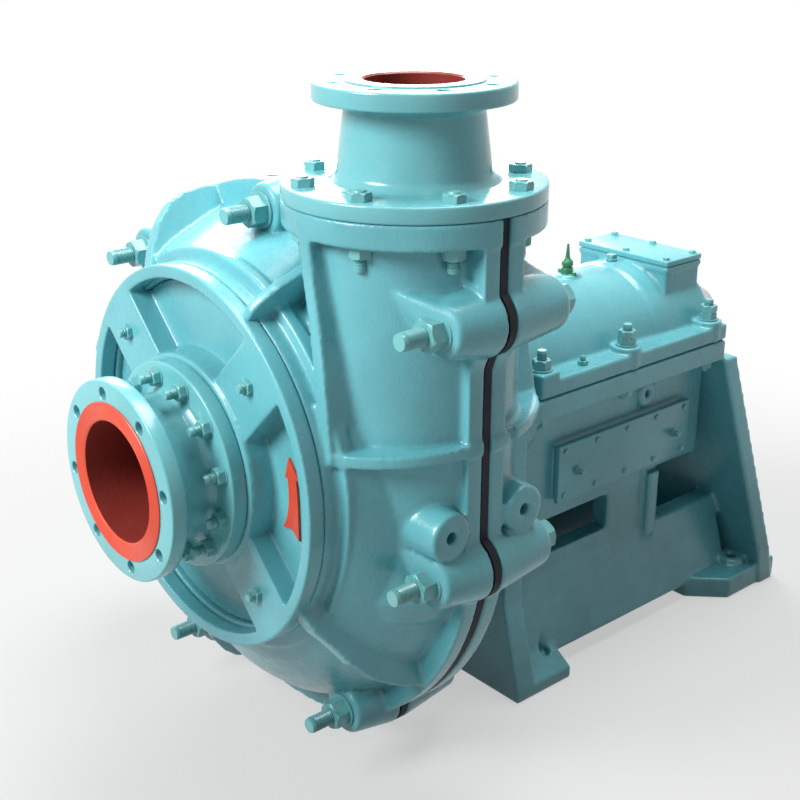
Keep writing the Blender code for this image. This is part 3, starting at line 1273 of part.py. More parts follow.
def front_plate():
    """Upright plate from the floor to round the shaft, wider at its foot."""
    half_t = FRONT_PLATE_T / 2
    arch = [polar(FRONT_PLATE_HALF_W, 180.0 * i / SMALL_SEGMENTS) for i in range(SMALL_SEGMENTS + 1)]
    floor = -SHAFT_HEIGHT
    outline = [(FRONT_FOOT_HALF_W, floor), (FRONT_FOOT_HALF_W, floor + FRONT_FOOT_H),
               (FRONT_PLATE_HALF_W, LEG_FOOT_Z)] + arch
    outline += [(-FRONT_PLATE_HALF_W, LEG_FOOT_Z), (-FRONT_FOOT_HALF_W, floor + FRONT_FOOT_H),
                (-FRONT_FOOT_HALF_W, floor)]
    return prism("front_plate", outline, FRONT_FOOT_Y - half_t, FRONT_FOOT_Y + half_t, "Y")


def front_foot(side):
    """Sloping foot pad behind the front plate."""
    floor = -SHAFT_HEIGHT
    outline = [(side * (LEG_HALF_W - LEG_WALL), floor), (side * FRONT_FOOT_HALF_W, floor),
               (side * FRONT_FOOT_HALF_W, floor + FRONT_FOOT_H),
               (side * SUMP_HALF_W, SKIRT_BOTTOM_Z + FRONT_FOOT_H * 2),
               (side * (LEG_HALF_W - LEG_WALL), SKIRT_BOTTOM_Z + FRONT_FOOT_H * 2)]
    return prism("front_foot", outline, FRONT_FOOT_Y, FRONT_FOOT_Y - FRONT_PLATE_T / 2 + FRONT_FOOT_L, "Y")


def leg_wall(side):
    """Side wall under the housing, ending in a pillar."""
    outer, inner = side * LEG_HALF_W, side * (LEG_HALF_W - LEG_WALL)
    low, high = sorted((inner, outer))
    top = SUMP_BOTTOM_Z + SUMP_WALL
    wall = block("leg", (low, FRONT_FOOT_Y, LEG_FOOT_Z - SKIRT_WALL), (high, LEG_REAR_Y, top))
    cheek = block("cheek", (low, FRONT_FOOT_Y, top - SUMP_WALL), (high, SUMP_FRONT_Y + SUMP_WALL,
                                                                 -LOWER_FLANGE_T))
    low, high = sorted((inner, outer + side * PILLAR_REACH))
    pillar = block("pillar", (low, LEG_REAR_Y - PILLAR_W, LEG_FOOT_Z - SKIRT_WALL / 2),
                   (high, LEG_REAR_Y, SUMP_BOTTOM_Z))
    return [wall, cheek, pillar]


def cross_wall():
    """Wall between the pillars that stiffens the frame under the rear bearing."""
    return block("cross_wall", (-LEG_HALF_W, LEG_REAR_Y - PILLAR_W, SKIRT_BOTTOM_Z),
                 (LEG_HALF_W, LEG_REAR_Y, SUMP_BOTTOM_Z + WELD_DEPTH))


def skirt(side):
    """Wall that slopes outward from the leg to just over the floor."""
    run = SKIRT_HALF_W - LEG_HALF_W
    outline = [(side * LEG_HALF_W, LEG_FOOT_Z), (side * SKIRT_HALF_W, SKIRT_BOTTOM_Z),
               (side * (SKIRT_HALF_W - SKIRT_WALL), SKIRT_BOTTOM_Z),
               (side * (LEG_HALF_W - SKIRT_WALL), LEG_FOOT_Z - SKIRT_WALL * run / SKIRT_HALF_W),
               (side * (LEG_HALF_W - SKIRT_WALL), LEG_FOOT_Z)]
    return prism("skirt", outline, FRONT_FOOT_Y, REAR_FOOT_FRONT_Y + REAR_FOOT_BEVEL * 2, "Y")


def rear_plate():
    """Leaning transverse plate that widens to the rear feet, notched for the bearing cap."""
    floor = -SHAFT_HEIGHT
    notch = CAP_R + CUT_OVERRUN
    dip = math.asin(-REAR_PLATE_TOP_Z / notch)
    arch = []
    for i in range(SMALL_SEGMENTS + 1):
        angle = -dip - (math.pi - 2 * dip) * i / SMALL_SEGMENTS
        arch.append((notch * math.cos(angle), notch * math.sin(angle)))
    right = [(REAR_PLATE_FOOT_HALF_W, floor), (REAR_PLATE_FOOT_HALF_W, REAR_PLATE_SHOULDER_Z),
             (REAR_PLATE_TOP_HALF_W, REAR_PLATE_TOP_Z)]
    left = [(-x, z) for x, z in reversed(right)]
    plate = prism("rear_plate", right + arch + left, REAR_PLATE_TOP_Y, REAR_PLATE_TOP_Y + REAR_PLATE_T, "Y")
    for vert in plate.data.vertices:
        vert.co.y += REAR_PLATE_LEAN * -vert.co.z / SHAFT_HEIGHT
    return plate


def rear_foot():
    """Slab under the rear plate with bevelled front corners and a boss round each hole."""
    floor = -SHAFT_HEIGHT
    inner = REAR_FOOT_HALF_W - REAR_FOOT_BEVEL
    outline = [(inner, REAR_FOOT_FRONT_Y), (REAR_FOOT_HALF_W, REAR_FOOT_FRONT_Y + REAR_FOOT_BEVEL),
               (REAR_FOOT_HALF_W, REAR_FOOT_REAR_Y)]
    outline += [(-x, y) for x, y in reversed(outline)]
    slab = prism("rear_foot", outline, floor, floor + REAR_FOOT_T, "Z")
    bosses = [cylinder("boss", FOOT_BOSS_R, floor + WELD_DEPTH, floor + REAR_FOOT_T + FOOT_BOSS_H,
                       SMALL_SEGMENTS, "Z", (side * REAR_HOLE_X, REAR_HOLE_Y)) for side in (-1, 1)]
    return [slab] + bosses


def spine():
    """Block that ties the rear of the sump to the leaning plate."""
    slope = REAR_PLATE_LEAN / SHAFT_HEIGHT
    top, bottom = -CAP_R - CUT_OVERRUN, SUMP_BOTTOM_Z
    reach = REAR_PLATE_TOP_Y + REAR_PLATE_T / 2
    outline = [(SUMP_REAR_Y - SUMP_WALL, top), (reach - slope * top, top), (reach - slope * bottom, bottom),
               (SUMP_REAR_Y - SUMP_WALL, bottom)]
    return prism("spine", outline, -SPINE_HALF_W, SPINE_HALF_W, "X")


def sump_forms():
    """Lower housing: half barrel, split flange, sump box, pad of the side plate, pipe socket."""
    barrel = cylinder("barrel", HOUSING_R, HOUSING_FRONT_Y, HOUSING_REAR_Y, MEDIUM_SEGMENTS)
    flange = block("flange", (-SPLIT_HALF_W, SPLIT_FRONT_Y, -LOWER_FLANGE_T),
                   (SPLIT_HALF_W, HOUSING_REAR_Y, -SEAT_GAP))
    box = block("box", (-SUMP_HALF_W, SUMP_FRONT_Y, SUMP_BOTTOM_Z), (SUMP_HALF_W, SUMP_REAR_Y,
                                                                   -LOWER_FLANGE_T / 2))
    pad = block("pad", (SUMP_HALF_W - SIDE_PAD_T, SIDE_PLATE_FRONT_Y + SIDE_PAD_INSET,
                        SIDE_PLATE_BOTTOM_Z + SIDE_PAD_INSET),
                (SUMP_HALF_W + SIDE_PAD_T, SIDE_PLATE_REAR_Y - SIDE_PAD_INSET,
                 SIDE_PLATE_TOP_Z - SIDE_PAD_INSET))
    socket = cylinder("socket", SOCKET_R, SUMP_HALF_W - SUMP_WALL, SUMP_HALF_W + SOCKET_REACH,
                      SMALL_SEGMENTS, "X", (SOCKET_Y, SOCKET_Z))
    return barrel, [flange, box, pad, socket]


def frame_cuts():
    """Everything that is hollow in the frame."""
    reach = SPLIT_HALF_W * 2
    front = REAR_BELLY_Y + REAR_SEAT_H
    window_y = (front + ADAPTER_FLANGE_T + FRONT_FOOT_Y - FRONT_PLATE_T / 2) / 2
    half = ADAPTER_WINDOW_L / 2
    floor = -SHAFT_HEIGHT
    socket_top = SUMP_HALF_W + SOCKET_REACH
    cuts = [housing_bores(FIT_GAP),
            block("above", (-reach, HOUSING_FRONT_Y - SEAT_GAP, -SEAT_GAP), (reach, HOUSING_REAR_Y
                                                                          + CUT_OVERRUN, reach)),
            cylinder("ring_bore", ADAPTER_R - ADAPTER_WALL, front - CUT_OVERRUN, HOUSING_FRONT_Y,
                     LARGE_SEGMENTS),
            block("access", (-reach, window_y - half, -ADAPTER_WINDOW_H / 2), (reach, window_y + half,
                                                                            ADAPTER_WINDOW_H / 2)),
            cylinder("socket_hole", SOCKET_HOLE_R, socket_top - SOCKET_HOLE_DEPTH, socket_top + CUT_OVERRUN,
                     STUD_SEGMENTS, "X", (SOCKET_Y, SOCKET_Z)),
            block("window", (-reach, WINDOW_FRONT_Y, WINDOW_BOTTOM_Z), (reach, WINDOW_REAR_Y, WINDOW_TOP_Z))]
    cuts += [cylinder("split_hole", COVER_STUD_R + FIT_GAP, -LOWER_FLANGE_T * 2, CUT_OVERRUN, STUD_SEGMENTS,
                      "Z", place) for place in cover_bolt_places()]
    for side in (-1, 1):
        for place in ((side * FRONT_HOLE_X, FRONT_HOLE_Y), (side * REAR_HOLE_X, REAR_HOLE_Y)):
            cuts.append(cylinder("foot_hole", FOOT_HOLE_R, floor - CUT_OVERRUN, LEG_FOOT_Z, STUD_SEGMENTS,
                                 "Z", place))
    return cuts


def make_bearing_frame(shop):
    """One casting: adapter, front plate, legs, skirts, feet and the lower housing."""
    frame, forms = sump_forms()
    forms += [adapter(), front_plate(), cross_wall(), rear_plate(), spine()] + rear_foot()
    for side in (-1, 1):
        forms += leg_wall(side) + [skirt(side), front_foot(side)]
    join(frame, forms)
    shop.finish(cut(frame, frame_cuts()), "bearing_frame", "teal_paint")


def main():
    """Build the pump from its frame to its rotor."""
    clear_scene()
    shop = Workshop()
    make_bearing_frame(shop)
    make_bearing_cover(shop)
    make_cover_bolts(shop)
    make_box_lid(shop)
    make_cover_fittings(shop)
    make_end_caps(shop)
    make_side_plate(shop)
    make_front_casing(shop)
    make_rear_casing(shop)
    make_liner(shop, "front_liner", -1, FRONT_BELLY_Y, CHAMBER_FRONT_Y)
    make_liner(shop, "rear_liner", 1, REAR_BELLY_Y, CHAMBER_REAR_Y)
    make_inserts(shop)
    make_suction_cover(shop)
    make_suction_pipe(shop)
    make_discharge_pipe(shop)
    make_discharge_bolts(shop)
    make_tie_bolts(shop)
    make_impeller(shop)
    make_shaft(shop)
    make_shaft_sleeve(shop)
    make_bearing(shop, "front", FRONT_BEARING_Y)
    make_bearing(shop, "rear", REAR_BEARING_Y)
    make_lock_nut(shop)
    packing_end = make_stuffing_box(shop)
    make_gland(shop, packing_end)


main()
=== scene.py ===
"""Looks of a rubber-lined slurry pump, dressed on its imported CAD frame.

Meshes are drawn from the shaft datum, the point where the shaft axis crosses the parting
plane of the casing: X to the right seen from the suction end, Y along the shaft, Z up.
"""

from __future__ import annotations

import json
import logging
import math
from collections.abc import Iterable, Mapping, Sequence
from dataclasses import dataclass, field
from enum import Enum
from typing import Union

import bmesh
import bpy
from mathutils import Matrix, Vector


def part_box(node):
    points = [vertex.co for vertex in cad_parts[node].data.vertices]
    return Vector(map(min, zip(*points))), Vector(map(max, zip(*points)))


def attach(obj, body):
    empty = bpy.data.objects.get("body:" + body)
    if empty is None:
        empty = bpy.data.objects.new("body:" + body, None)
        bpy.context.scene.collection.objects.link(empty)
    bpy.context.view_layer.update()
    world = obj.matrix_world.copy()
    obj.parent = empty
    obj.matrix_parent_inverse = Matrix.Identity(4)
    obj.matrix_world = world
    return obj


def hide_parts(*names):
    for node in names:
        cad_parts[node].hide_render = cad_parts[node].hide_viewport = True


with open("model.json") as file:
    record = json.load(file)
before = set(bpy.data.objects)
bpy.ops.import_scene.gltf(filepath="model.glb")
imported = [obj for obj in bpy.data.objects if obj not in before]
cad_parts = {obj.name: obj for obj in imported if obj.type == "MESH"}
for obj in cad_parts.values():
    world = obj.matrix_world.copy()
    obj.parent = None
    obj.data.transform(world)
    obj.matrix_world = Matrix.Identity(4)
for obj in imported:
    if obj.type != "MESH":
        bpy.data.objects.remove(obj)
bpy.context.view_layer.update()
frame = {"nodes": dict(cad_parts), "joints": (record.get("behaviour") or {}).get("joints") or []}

LOG = logging.getLogger("slurry_pump")

Point = tuple[float, float]
Spot = tuple[float, float, float]
Colour = tuple[float, float, float, float]
Solid = bpy.types.Object

# Facets of round forms, and the angle from which an edge counts as sharp
FINE = 96
MEDIUM = 48
SMALL = 24
THREAD_SIDES = 20
SHARP = math.radians(34)

# Gap between seated pieces, overlap of joined ones, and reach of a cutter past its work
SEAT_GAP = 0.0003
WELD = 0.004
OVERRUN = 0.012

# Largest share of an edge that a rounded corner takes, and the least rounding that is drawn
ROUND_SHARE = 0.45
ROUND_LEAST = 1e-5

# Shares of a nut's corner radius, its share of a stack's step, and degrees between stacked nuts
NUT_SEAT = 0.93
NUT_TOP = 0.86
NUT_CORNER = 1.02
NUT_RISE = 0.09
NUT_DROP = 0.14
NUT_FILL = 0.97
NUT_TURN = 11.0

# Pitch of the threads, and shares of it
PITCH = 0.0035
THREAD_DEPTH = 0.42
THREAD_CREST = (0.4, 0.6)

# Shares for washers and screw heads, and the step that scatters the turns of a set
WASHER_ROUND = 0.35
WASHER_OVER_NUT = 1.17
FACE_OVER_HEAD = 1.25
FACE_SHARE = 0.25
TWIST_STEP = 12.9898

# Directions and plain colours
UP: Spot = (0.0, 0.0, 1.0)
DOWN: Spot = (0.0, 0.0, -1.0)
TO_SUCTION: Spot = (0.0, -1.0, 0.0)
TO_DRIVE: Spot = (0.0, 1.0, 0.0)
TO_FLANK: Spot = (1.0, 0.0, 0.0)
WHITE: Colour = (1.0, 1.0, 1.0, 1.0)


def datum() -> Vector:
    """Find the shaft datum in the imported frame.

    Returns:
        The point of the shaft axis in the parting plane, in the row frame.
    """
    axis = next(j for j in frame["joints"] if j["name"] == "rotor_spin")["pos_m"]
    parting = (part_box("front_liner")[1][1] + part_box("rear_liner")[0][1]) / 2
    return Vector((axis[0], parting, axis[2]))


DATUM = datum()


class Axis(Enum):
    """Direction along which a form is turned or extruded."""

    X = "X"
    Y = "Y"
    Z = "Z"

    def place(self, u: float, v: float, w: float) -> Spot:
        """Turn plane coordinates and a height along this axis into a point.

        Args:
            u: First coordinate across the axis.
            v: Second coordinate across the axis.
            w: Height along the axis.

        Returns:
            The point.
        """
        if self is Axis.X:
            return (w, u, v)
        if self is Axis.Y:
            return (u, w, v)
        return (u, v, w)


# Shader graphs

class Signal:
    """A shader socket that takes part in Python expressions."""

    def __init__(self, graph: Graph, socket: bpy.types.NodeSocket) -> None:
        """Wrap an output socket of a graph."""
        self.graph = graph
        self.socket = socket

    def _math(self, operation: str, first: Value, second: Value) -> Signal:
        """Add a Math node."""
        return self.graph.node("ShaderNodeMath", {"operation": operation}, {0: first, 1: second})

    def __add__(self, other: Value) -> Signal:
        """Add a value."""
        return self._math("ADD", self, other)

    def __radd__(self, other: Value) -> Signal:
        """Add this to a number."""
        return self._math("ADD", other, self)

    def __sub__(self, other: Value) -> Signal:
        """Take a value away."""
        return self._math("SUBTRACT", self, other)

    def __rsub__(self, other: Value) -> Signal:
        """Take this from a number."""
        return self._math("SUBTRACT", other, self)

    def __mul__(self, other: Value) -> Signal:
        """Multiply by a value."""
        return self._math("MULTIPLY", self, other)

    def __rmul__(self, other: Value) -> Signal:
        """Multiply a number by this."""
        return self._math("MULTIPLY", other, self)

    def clamp(self) -> Signal:
        """Keep between 0 and 1."""
        return self.graph.node("ShaderNodeClamp", {}, {"Value": self})

    def step(self, low: float, high: float) -> Signal:
        """Rise smoothly from 0 at low to 1 at high."""
        return self.graph.node("ShaderNodeMapRange", {"interpolation_type": "SMOOTHSTEP"},
                               {"Value": self, "From Min": low, "From Max": high})


Value = Union[Signal, float, Sequence[float]]


class Graph:
    """Node tree of one material or of the world."""

    def __init__(self, tree: bpy.types.NodeTree) -> None:
        """Empty the tree and keep it."""
        self.tree = tree
        tree.nodes.clear()

    def node(self, kind: str, settings: Mapping[str, object], sockets: Mapping[int | str, Value],
             output: int | str = 0) -> Signal:
        """Add a node, set it up, then feed its sockets.

        Args:
            kind: The node's Blender type.
            settings: Properties that are set first.
            sockets: Values or signals, by socket name or number.
            output: The socket that the result stands for.

        Returns:
            The chosen output as a signal.
        """
        node = self.tree.nodes.new(kind)
        for name, value in settings.items():
            setattr(node, name, value)
        for key, value in sockets.items():
            if isinstance(value, Signal):
                self.tree.links.new(value.socket, node.inputs[key])
            else:
                node.inputs[key].default_value = value
        return Signal(self, node.outputs[output] if node.outputs else None)

    def noise(self, pattern: Pattern, stretch: Spot = (1.0, 1.0, 1.0)) -> Signal:
        """Add noise in object space.

        Args:
            pattern: Scale and detail of the noise.
            stretch: Scale of each axis.

        Returns:
            The noise's value, from 0 to 1.
        """
        place = self.node("ShaderNodeTexCoord", {}, {}, "Object")
        place = self.node("ShaderNodeMapping", {}, {"Vector": place, "Scale": stretch,
                                                    "Location": pattern.where})
        return self.node("ShaderNodeTexNoise", {}, {"Vector": place, "Scale": pattern.scale,
                                                    "Detail": pattern.detail, "Roughness": pattern.roughness})

    def blend(self, factor: Value, first: Value, second: Value) -> Signal:
        """Mix two colours by a factor."""
        return self.node("ShaderNodeMix", {"data_type": "RGBA"}, {0: factor, 6: first, 7: second}, 2)

    def bump(self, height: Signal, distance: float) -> Signal:
        """Turn a height into a normal."""
        return self.node("ShaderNodeBump", {}, {"Height": height, "Distance": distance, "Strength": 1.0})


@dataclass(frozen=True)
class Pattern:
    """Noise: features per metre, octaves, weight of the fine ones, and a shift that sets two noises apart."""

    scale: float
    detail: float
    roughness: float = 0.5
    where: Spot = (0.0, 0.0, 0.0)


def rgb(red: int, green: int, blue: int) -> Colour:
    """Turn display values into a linear colour.

    Args:
        red: Red from 0 to 255.
        green: Green from 0 to 255.
        blue: Blue from 0 to 255.

    Returns:
        The colour with its alpha.
    """
    def linear(value: int) -> float:
        """Undo the display curve of one part."""
        share = value / 255
        return share / 12.92 if share <= 0.04045 else ((share + 0.055) / 1.055) ** 2.4

    return (linear(red), linear(green), linear(blue), 1.0)


@dataclass(frozen=True)
class Finish:
    """Base of every finish: a name, the record's slot, and a material made once."""

    label: str
    slot: str

    def material(self) -> bpy.types.Material:
        """Find the material, or make it on first use.

        Returns:
            The material.
        """
        known = bpy.data.materials.get(self.label)
        if known:
            return known
        made = bpy.data.materials.new(self.label)
        made.use_nodes = True
        graph = Graph(made.node_tree)
        shader = self.shader(graph)
        graph.node("ShaderNodeOutputMaterial", {}, {"Surface": shader})
        return made

    def shader(self, graph: Graph) -> Signal:
        """Build the surface shader."""
        raise NotImplementedError

    @staticmethod
    def height(graph: Graph) -> Signal:
        """Height over the floor."""
        place = graph.node("ShaderNodeTexCoord", {}, {}, "Object")
        return graph.node("ShaderNodeSeparateXYZ", {}, {0: place}, "Z")

    @staticmethod
    def edges(graph: Graph) -> Signal:
        """Pointiness of the mesh: above one half on ridges, below it in hollows."""
        return graph.node("ShaderNodeNewGeometry", {}, {}, "Pointiness")


@dataclass(frozen=True)
class Paint(Finish):
    """Glossy enamel sprayed over a casting or over machined steel."""

    colour: Colour
    shade: Colour
    primer: Colour
    roughness: float = 0.26
    grain: float = 0.00035
    wear: float = 0.25
    coat: float = 0.22
    coat_roughness: float = 0.18
    specular: float = 0.42
    clouds: Pattern = Pattern(4.0, 3.0, 0.55)
    mottle: Pattern = Pattern(38.0, 3.0, 0.6, (3.1, 1.7, 0.4))
    pores: Pattern = Pattern(260.0, 2.0, 0.6, (0.3, 5.2, 2.2))
    peel: Pattern = Pattern(75.0, 1.0, 0.4, (7.0, 0.5, 1.4))
    # Ranges over which each effect sets in: painted shade in hollows, a painted highlight and rubbed chips on
    # ridges by pointiness, drifting tone, roughness and chips by noise, and painted shade by height, darker
    # towards the bottom
    hollows: Point = (0.40, 0.50)
    # Painted highlight: pointiness over which ridges turn a lighter teal
    ridges: Point = (0.53, 0.60)
    rubbed: Point = (0.56, 0.64)
    cloudy: Point = (0.35, 0.72)
    mottled: Point = (0.35, 0.75)
    chipped: Point = (0.60, 0.68)
    painted_shade_height: Point = (0.0, 0.62)
    # Painted highlight: gain and lift of the lighter teal on ridges
    highlight_gain: float = 1.16
    highlight_lift: float = 0.02

    def shader(self, graph: Graph) -> Signal:
        """Mix enamel with drifting tone, painted shade with some dust in the hollows, painted shade towards
        the bottom, a painted highlight and rubbed chips on ridges, and a sand-cast grain.

        Args:
            graph: Node tree of the material.

        Returns:
            The surface.
        """
        ridge = self.edges(graph)
        clouds, mottle = graph.noise(self.clouds), graph.noise(self.mottle)
        pores, peel = graph.noise(self.pores), graph.noise(self.peel)
        # Painted shade with some dust: darker in the hollows, found by pointiness
        hollow = (1.0 - ridge.step(*self.hollows)) * 0.9
        # Painted shade: darker towards the bottom
        low = 1.0 - self.height(graph).step(*self.painted_shade_height)
        # Tone: random clouds plus the painted shade of the hollows and of the bottom
        tone = (hollow + clouds.step(*self.cloudy) * 0.30 + low * (0.35 + mottle * 0.3)).clamp()
        base = graph.blend(tone, self.colour, self.shade)
        # Painted highlight: a lighter teal blended onto the ridges
        painted_highlight = tuple(min(1.0, part * self.highlight_gain + self.highlight_lift) for part in self.colour[:3])
        base = graph.blend(ridge.step(*self.ridges) * 0.5, base, (*painted_highlight, 1.0))
        chips = (ridge.step(*self.rubbed) * mottle.step(*self.chipped) * self.wear).clamp()
        base = graph.blend(chips, base, self.primer)
        rough = self.roughness + mottle.step(*self.mottled) * 0.12 + chips * 0.2 + hollow * 0.1
        relief = graph.bump(pores + peel * 0.8 + clouds * 0.6, self.grain)
        return graph.node("ShaderNodeBsdfPrincipled", {}, {
            "Base Color": base, "Roughness": rough, "Metallic": 0.0, "Normal": relief,
            "Coat Weight": self.coat, "Coat Roughness": self.coat_roughness,
            "Specular IOR Level": self.specular})


@dataclass(frozen=True)
class Rubber(Finish):
    """Moulded black rubber."""

    colour: Colour
    roughness: float = 0.62
    specular: float = 0.25
    relief: float = 0.0002
    bloom: Pattern = Pattern(30.0, 3.0, 0.6)
    bloomed: Point = (0.45, 0.8)
    grain: Pattern = Pattern(600.0, 1.0)
    pale_gain: float = 1.8
    pale_lift: float = 0.004

    def shader(self, graph: Graph) -> Signal:
        """Mix matt rubber with bloom and a fine moulded grain.

        Args:
            graph: Node tree of the material.

        Returns:
            The surface.
        """
        bloom = graph.noise(self.bloom).step(*self.bloomed)
        grain = graph.noise(self.grain)
        pale = tuple(part * self.pale_gain + self.pale_lift for part in self.colour[:3])
        base = graph.blend(bloom * 0.5, self.colour, (*pale, 1.0))
        return graph.node("ShaderNodeBsdfPrincipled", {}, {
            "Base Color": base, "Roughness": self.roughness + bloom * 0.2,
            "Specular IOR Level": self.specular, "Normal": graph.bump(grain, self.relief)})


@dataclass(frozen=True)
class Metal(Finish):
    """Bare metal, turned or cast."""

    colour: Colour
    stain: Colour
    roughness: float
    stretch: Spot = (1.0, 1.0, 1.0)
    grain: float = 0.0002
    marks: Pattern = Pattern(300.0, 2.0, 0.6)
    stains: Pattern = Pattern(22.0, 4.0, 0.6)
    stained: Point = (0.5, 0.8)

    def shader(self, graph: Graph) -> Signal:
        """Mix metal with tool marks along the stretched axes and faint stains.

        Args:
            graph: Node tree of the material.

        Returns:
            The surface.
        """
        marks = graph.noise(self.marks, self.stretch)
        stains = graph.noise(self.stains).step(*self.stained)
        base = graph.blend(stains * 0.45, self.colour, self.stain)
        rough = self.roughness + marks * 0.14 + stains * 0.15
        return graph.node("ShaderNodeBsdfPrincipled", {}, {
            "Base Color": base, "Roughness": rough, "Metallic": 1.0, "Normal": graph.bump(marks, self.grain)})


@dataclass(frozen=True)
class Braid(Finish):
    """Plaited gland packing."""

    colour: Colour
    shade: Colour
    scale: float = 90.0
    distortion: float = 2.0
    detail: float = 2.0
    roughness: float = 0.9
    relief: float = 0.0006

    def shader(self, graph: Graph) -> Signal:
        """Weave diagonal strands, darker between them.

        Args:
            graph: Node tree of the material.

        Returns:
            The surface.
        """
        place = graph.node("ShaderNodeTexCoord", {}, {}, "Object")
        strands = graph.node("ShaderNodeTexWave", {"bands_direction": "DIAGONAL"},
                             {"Vector": place, "Scale": self.scale, "Distortion": self.distortion,
                              "Detail": self.detail}, 1)
        return graph.node("ShaderNodeBsdfPrincipled", {}, {
            "Base Color": graph.blend(strands, self.shade, self.colour),
            "Roughness": self.roughness - strands * 0.1, "Normal": graph.bump(strands, self.relief)})


TEAL = Paint("teal_enamel", "teal_paint", rgb(102, 178, 187), rgb(46, 104, 112), rgb(132, 84, 66))
TEAL_SMOOTH = Paint("teal_enamel_machined", "teal_paint", rgb(112, 184, 190), rgb(60, 124, 130),
                    rgb(132, 84, 66), 0.2, 0.0001, 0.3)
TEAL_DARK = Paint("teal_fastener_enamel", "dark_teal_paint", rgb(104, 172, 174), rgb(46, 96, 100),
                  rgb(150, 150, 146), 0.3, 0.0002, 0.8)
GREEN = Paint("green_enamel", "dark_teal_paint", rgb(52, 128, 88), rgb(24, 74, 50), rgb(150, 150, 146), 0.3)
RED = Paint("red_primer", "teal_paint", rgb(206, 70, 42), rgb(150, 42, 26), rgb(120, 60, 40),
            0.4, 0.0003, 0.1)
# Painted shade: a darker copy of the red primer, for the inside of the bores
RED_BORE_SHADE = Paint("red_primer_bore_shade", "teal_paint", rgb(124, 33, 22), rgb(80, 20, 14), rgb(80, 40, 30),
                 0.5, 0.0005, 0.1)
RUBBER = Rubber("black_rubber_moulded", "black_rubber", rgb(11, 15, 24))
STEEL = Metal("turned_steel", "bright_steel", rgb(196, 198, 202), rgb(140, 134, 124), 0.24, (1.0, 12.0, 1.0))
IRON = Metal("hard_iron", "wear_iron", rgb(132, 130, 128), rgb(92, 78, 66), 0.42)
BRONZE = Metal("gland_bronze", "brass", rgb(204, 164, 96), rgb(132, 104, 62), 0.3, (1.0, 8.0, 1.0))
PACKING = Braid("plaited_packing", "packing", rgb(150, 138, 112), rgb(62, 58, 52))


# Solids

def new_object(name: str, verts: Iterable[Sequence[float]], faces: Iterable[Sequence[int]]) -> Solid:
    """Make a mesh object with its faces turned outward.

    Args:
        name: Name of the object.
        verts: Its points.
        faces: Point numbers of each face.

    Returns:
        The linked object.
    """
    mesh = bpy.data.meshes.new(name)
    mesh.from_pydata([tuple(v) for v in verts], [], list(faces))
    work = bmesh.new()
    work.from_mesh(mesh)
    bmesh.ops.recalc_face_normals(work, faces=work.faces)
    work.to_mesh(mesh)
    work.free()
    return linked(name, mesh)


def linked(name: str, mesh: bpy.types.Mesh) -> Solid:
    """Make an object of a mesh and link it."""
    item = bpy.data.objects.new(name, mesh)
    bpy.context.scene.collection.objects.link(item)
    return item


def ring(radius: float | Point, count: int, centre: Point = (0.0, 0.0), phase: float = 0.0) -> list[Point]:
    """List the points of a circle, or of an ellipse where two radii are given.

    Args:
        radius: One radius, or one along each coordinate.
        count: Number of points.
        centre: Middle of the circle.
        phase: Angle of the first point, in radians.

    Returns:
        The points in order.
    """
    wide, high = radius if isinstance(radius, tuple) else (radius, radius)
    step = math.tau / count
    return [(centre[0] + wide * math.cos(phase + i * step),
             centre[1] + high * math.sin(phase + i * step)) for i in range(count)]


def on_ring(radius: float, angle: float) -> Point:
    """Place at a radius and an angle in radians."""
    return radius * math.cos(angle), radius * math.sin(angle)


def polar(radius: float, degrees: float) -> Point:
    """Place at a radius and an angle in degrees, seen from the suction end."""
    return on_ring(radius, math.radians(degrees))


def turned(name: str, profile: Sequence[Point], count: int, axis: Axis = Axis.Y,
           centre: Point = (0.0, 0.0)) -> Solid:
    """Turn a closed (radius, height) profile about an axis.

    Args:
        name: Name of the object.
        profile: Closed outline; a zero radius is a pole.
        count: Facets round the axis.
        axis: Axis of the form.
        centre: Place of the axis in its plane.

    Returns:
        The turned solid.
    """
    verts: list[Spot] = []
    rows: list[list[int]] = []
    for radius, height in profile:
        if radius == 0:
            rows.append([len(verts)] * count)
            verts.append(axis.place(*centre, height))
            continue
        rows.append(list(range(len(verts), len(verts) + count)))
        verts += [axis.place(u, v, height) for u, v in ring(radius, count, centre)]
    faces = []
    for first, second in zip(rows, rows[1:] + rows[:1]):
        for i in range(count):
            j = (i + 1) % count
            corners = [first[i], first[j], second[j], second[i]]
            face = [c for k, c in enumerate(corners) if c not in corners[:k]]
            if len(face) > 2:
                faces.append(face)
    return new_object(name, verts, faces)


def rounded(profile: Sequence[Point], radius: float, steps: int = 3) -> list[Point]:
    """Round the corners of a closed profile, except those on the axis.

    Args:
        profile: Closed outline of (radius, height) points.
        radius: Largest corner radius.
        steps: Points per corner, less one.

    Returns:
        The outline with arcs at its corners.
    """
    points: list[Point] = []
    count = len(profile)
    for i, here in enumerate(profile):
        corner = Vector(here)
        before = Vector(profile[i - 1]) - corner
        after = Vector(profile[(i + 1) % count]) - corner
        reach = min(radius, before.length * ROUND_SHARE, after.length * ROUND_SHARE)
        if here[0] == 0 or reach < ROUND_LEAST:
            points.append(here)
            continue
        start, stop = corner + before.normalized() * reach, corner + after.normalized() * reach
        for k in range(steps + 1):
            share = k / steps
            bent = start.lerp(corner, share).lerp(corner.lerp(stop, share), share)
            points.append((bent.x, bent.y))
    return points


def prism_faces(count: int) -> list[list[int]]:
    """List the faces of a prism whose two ends have this many points each."""
    sides = [[i, (i + 1) % count, count + (i + 1) % count, count + i] for i in range(count)]
    return [list(range(count)), list(range(count, 2 * count)), *sides]


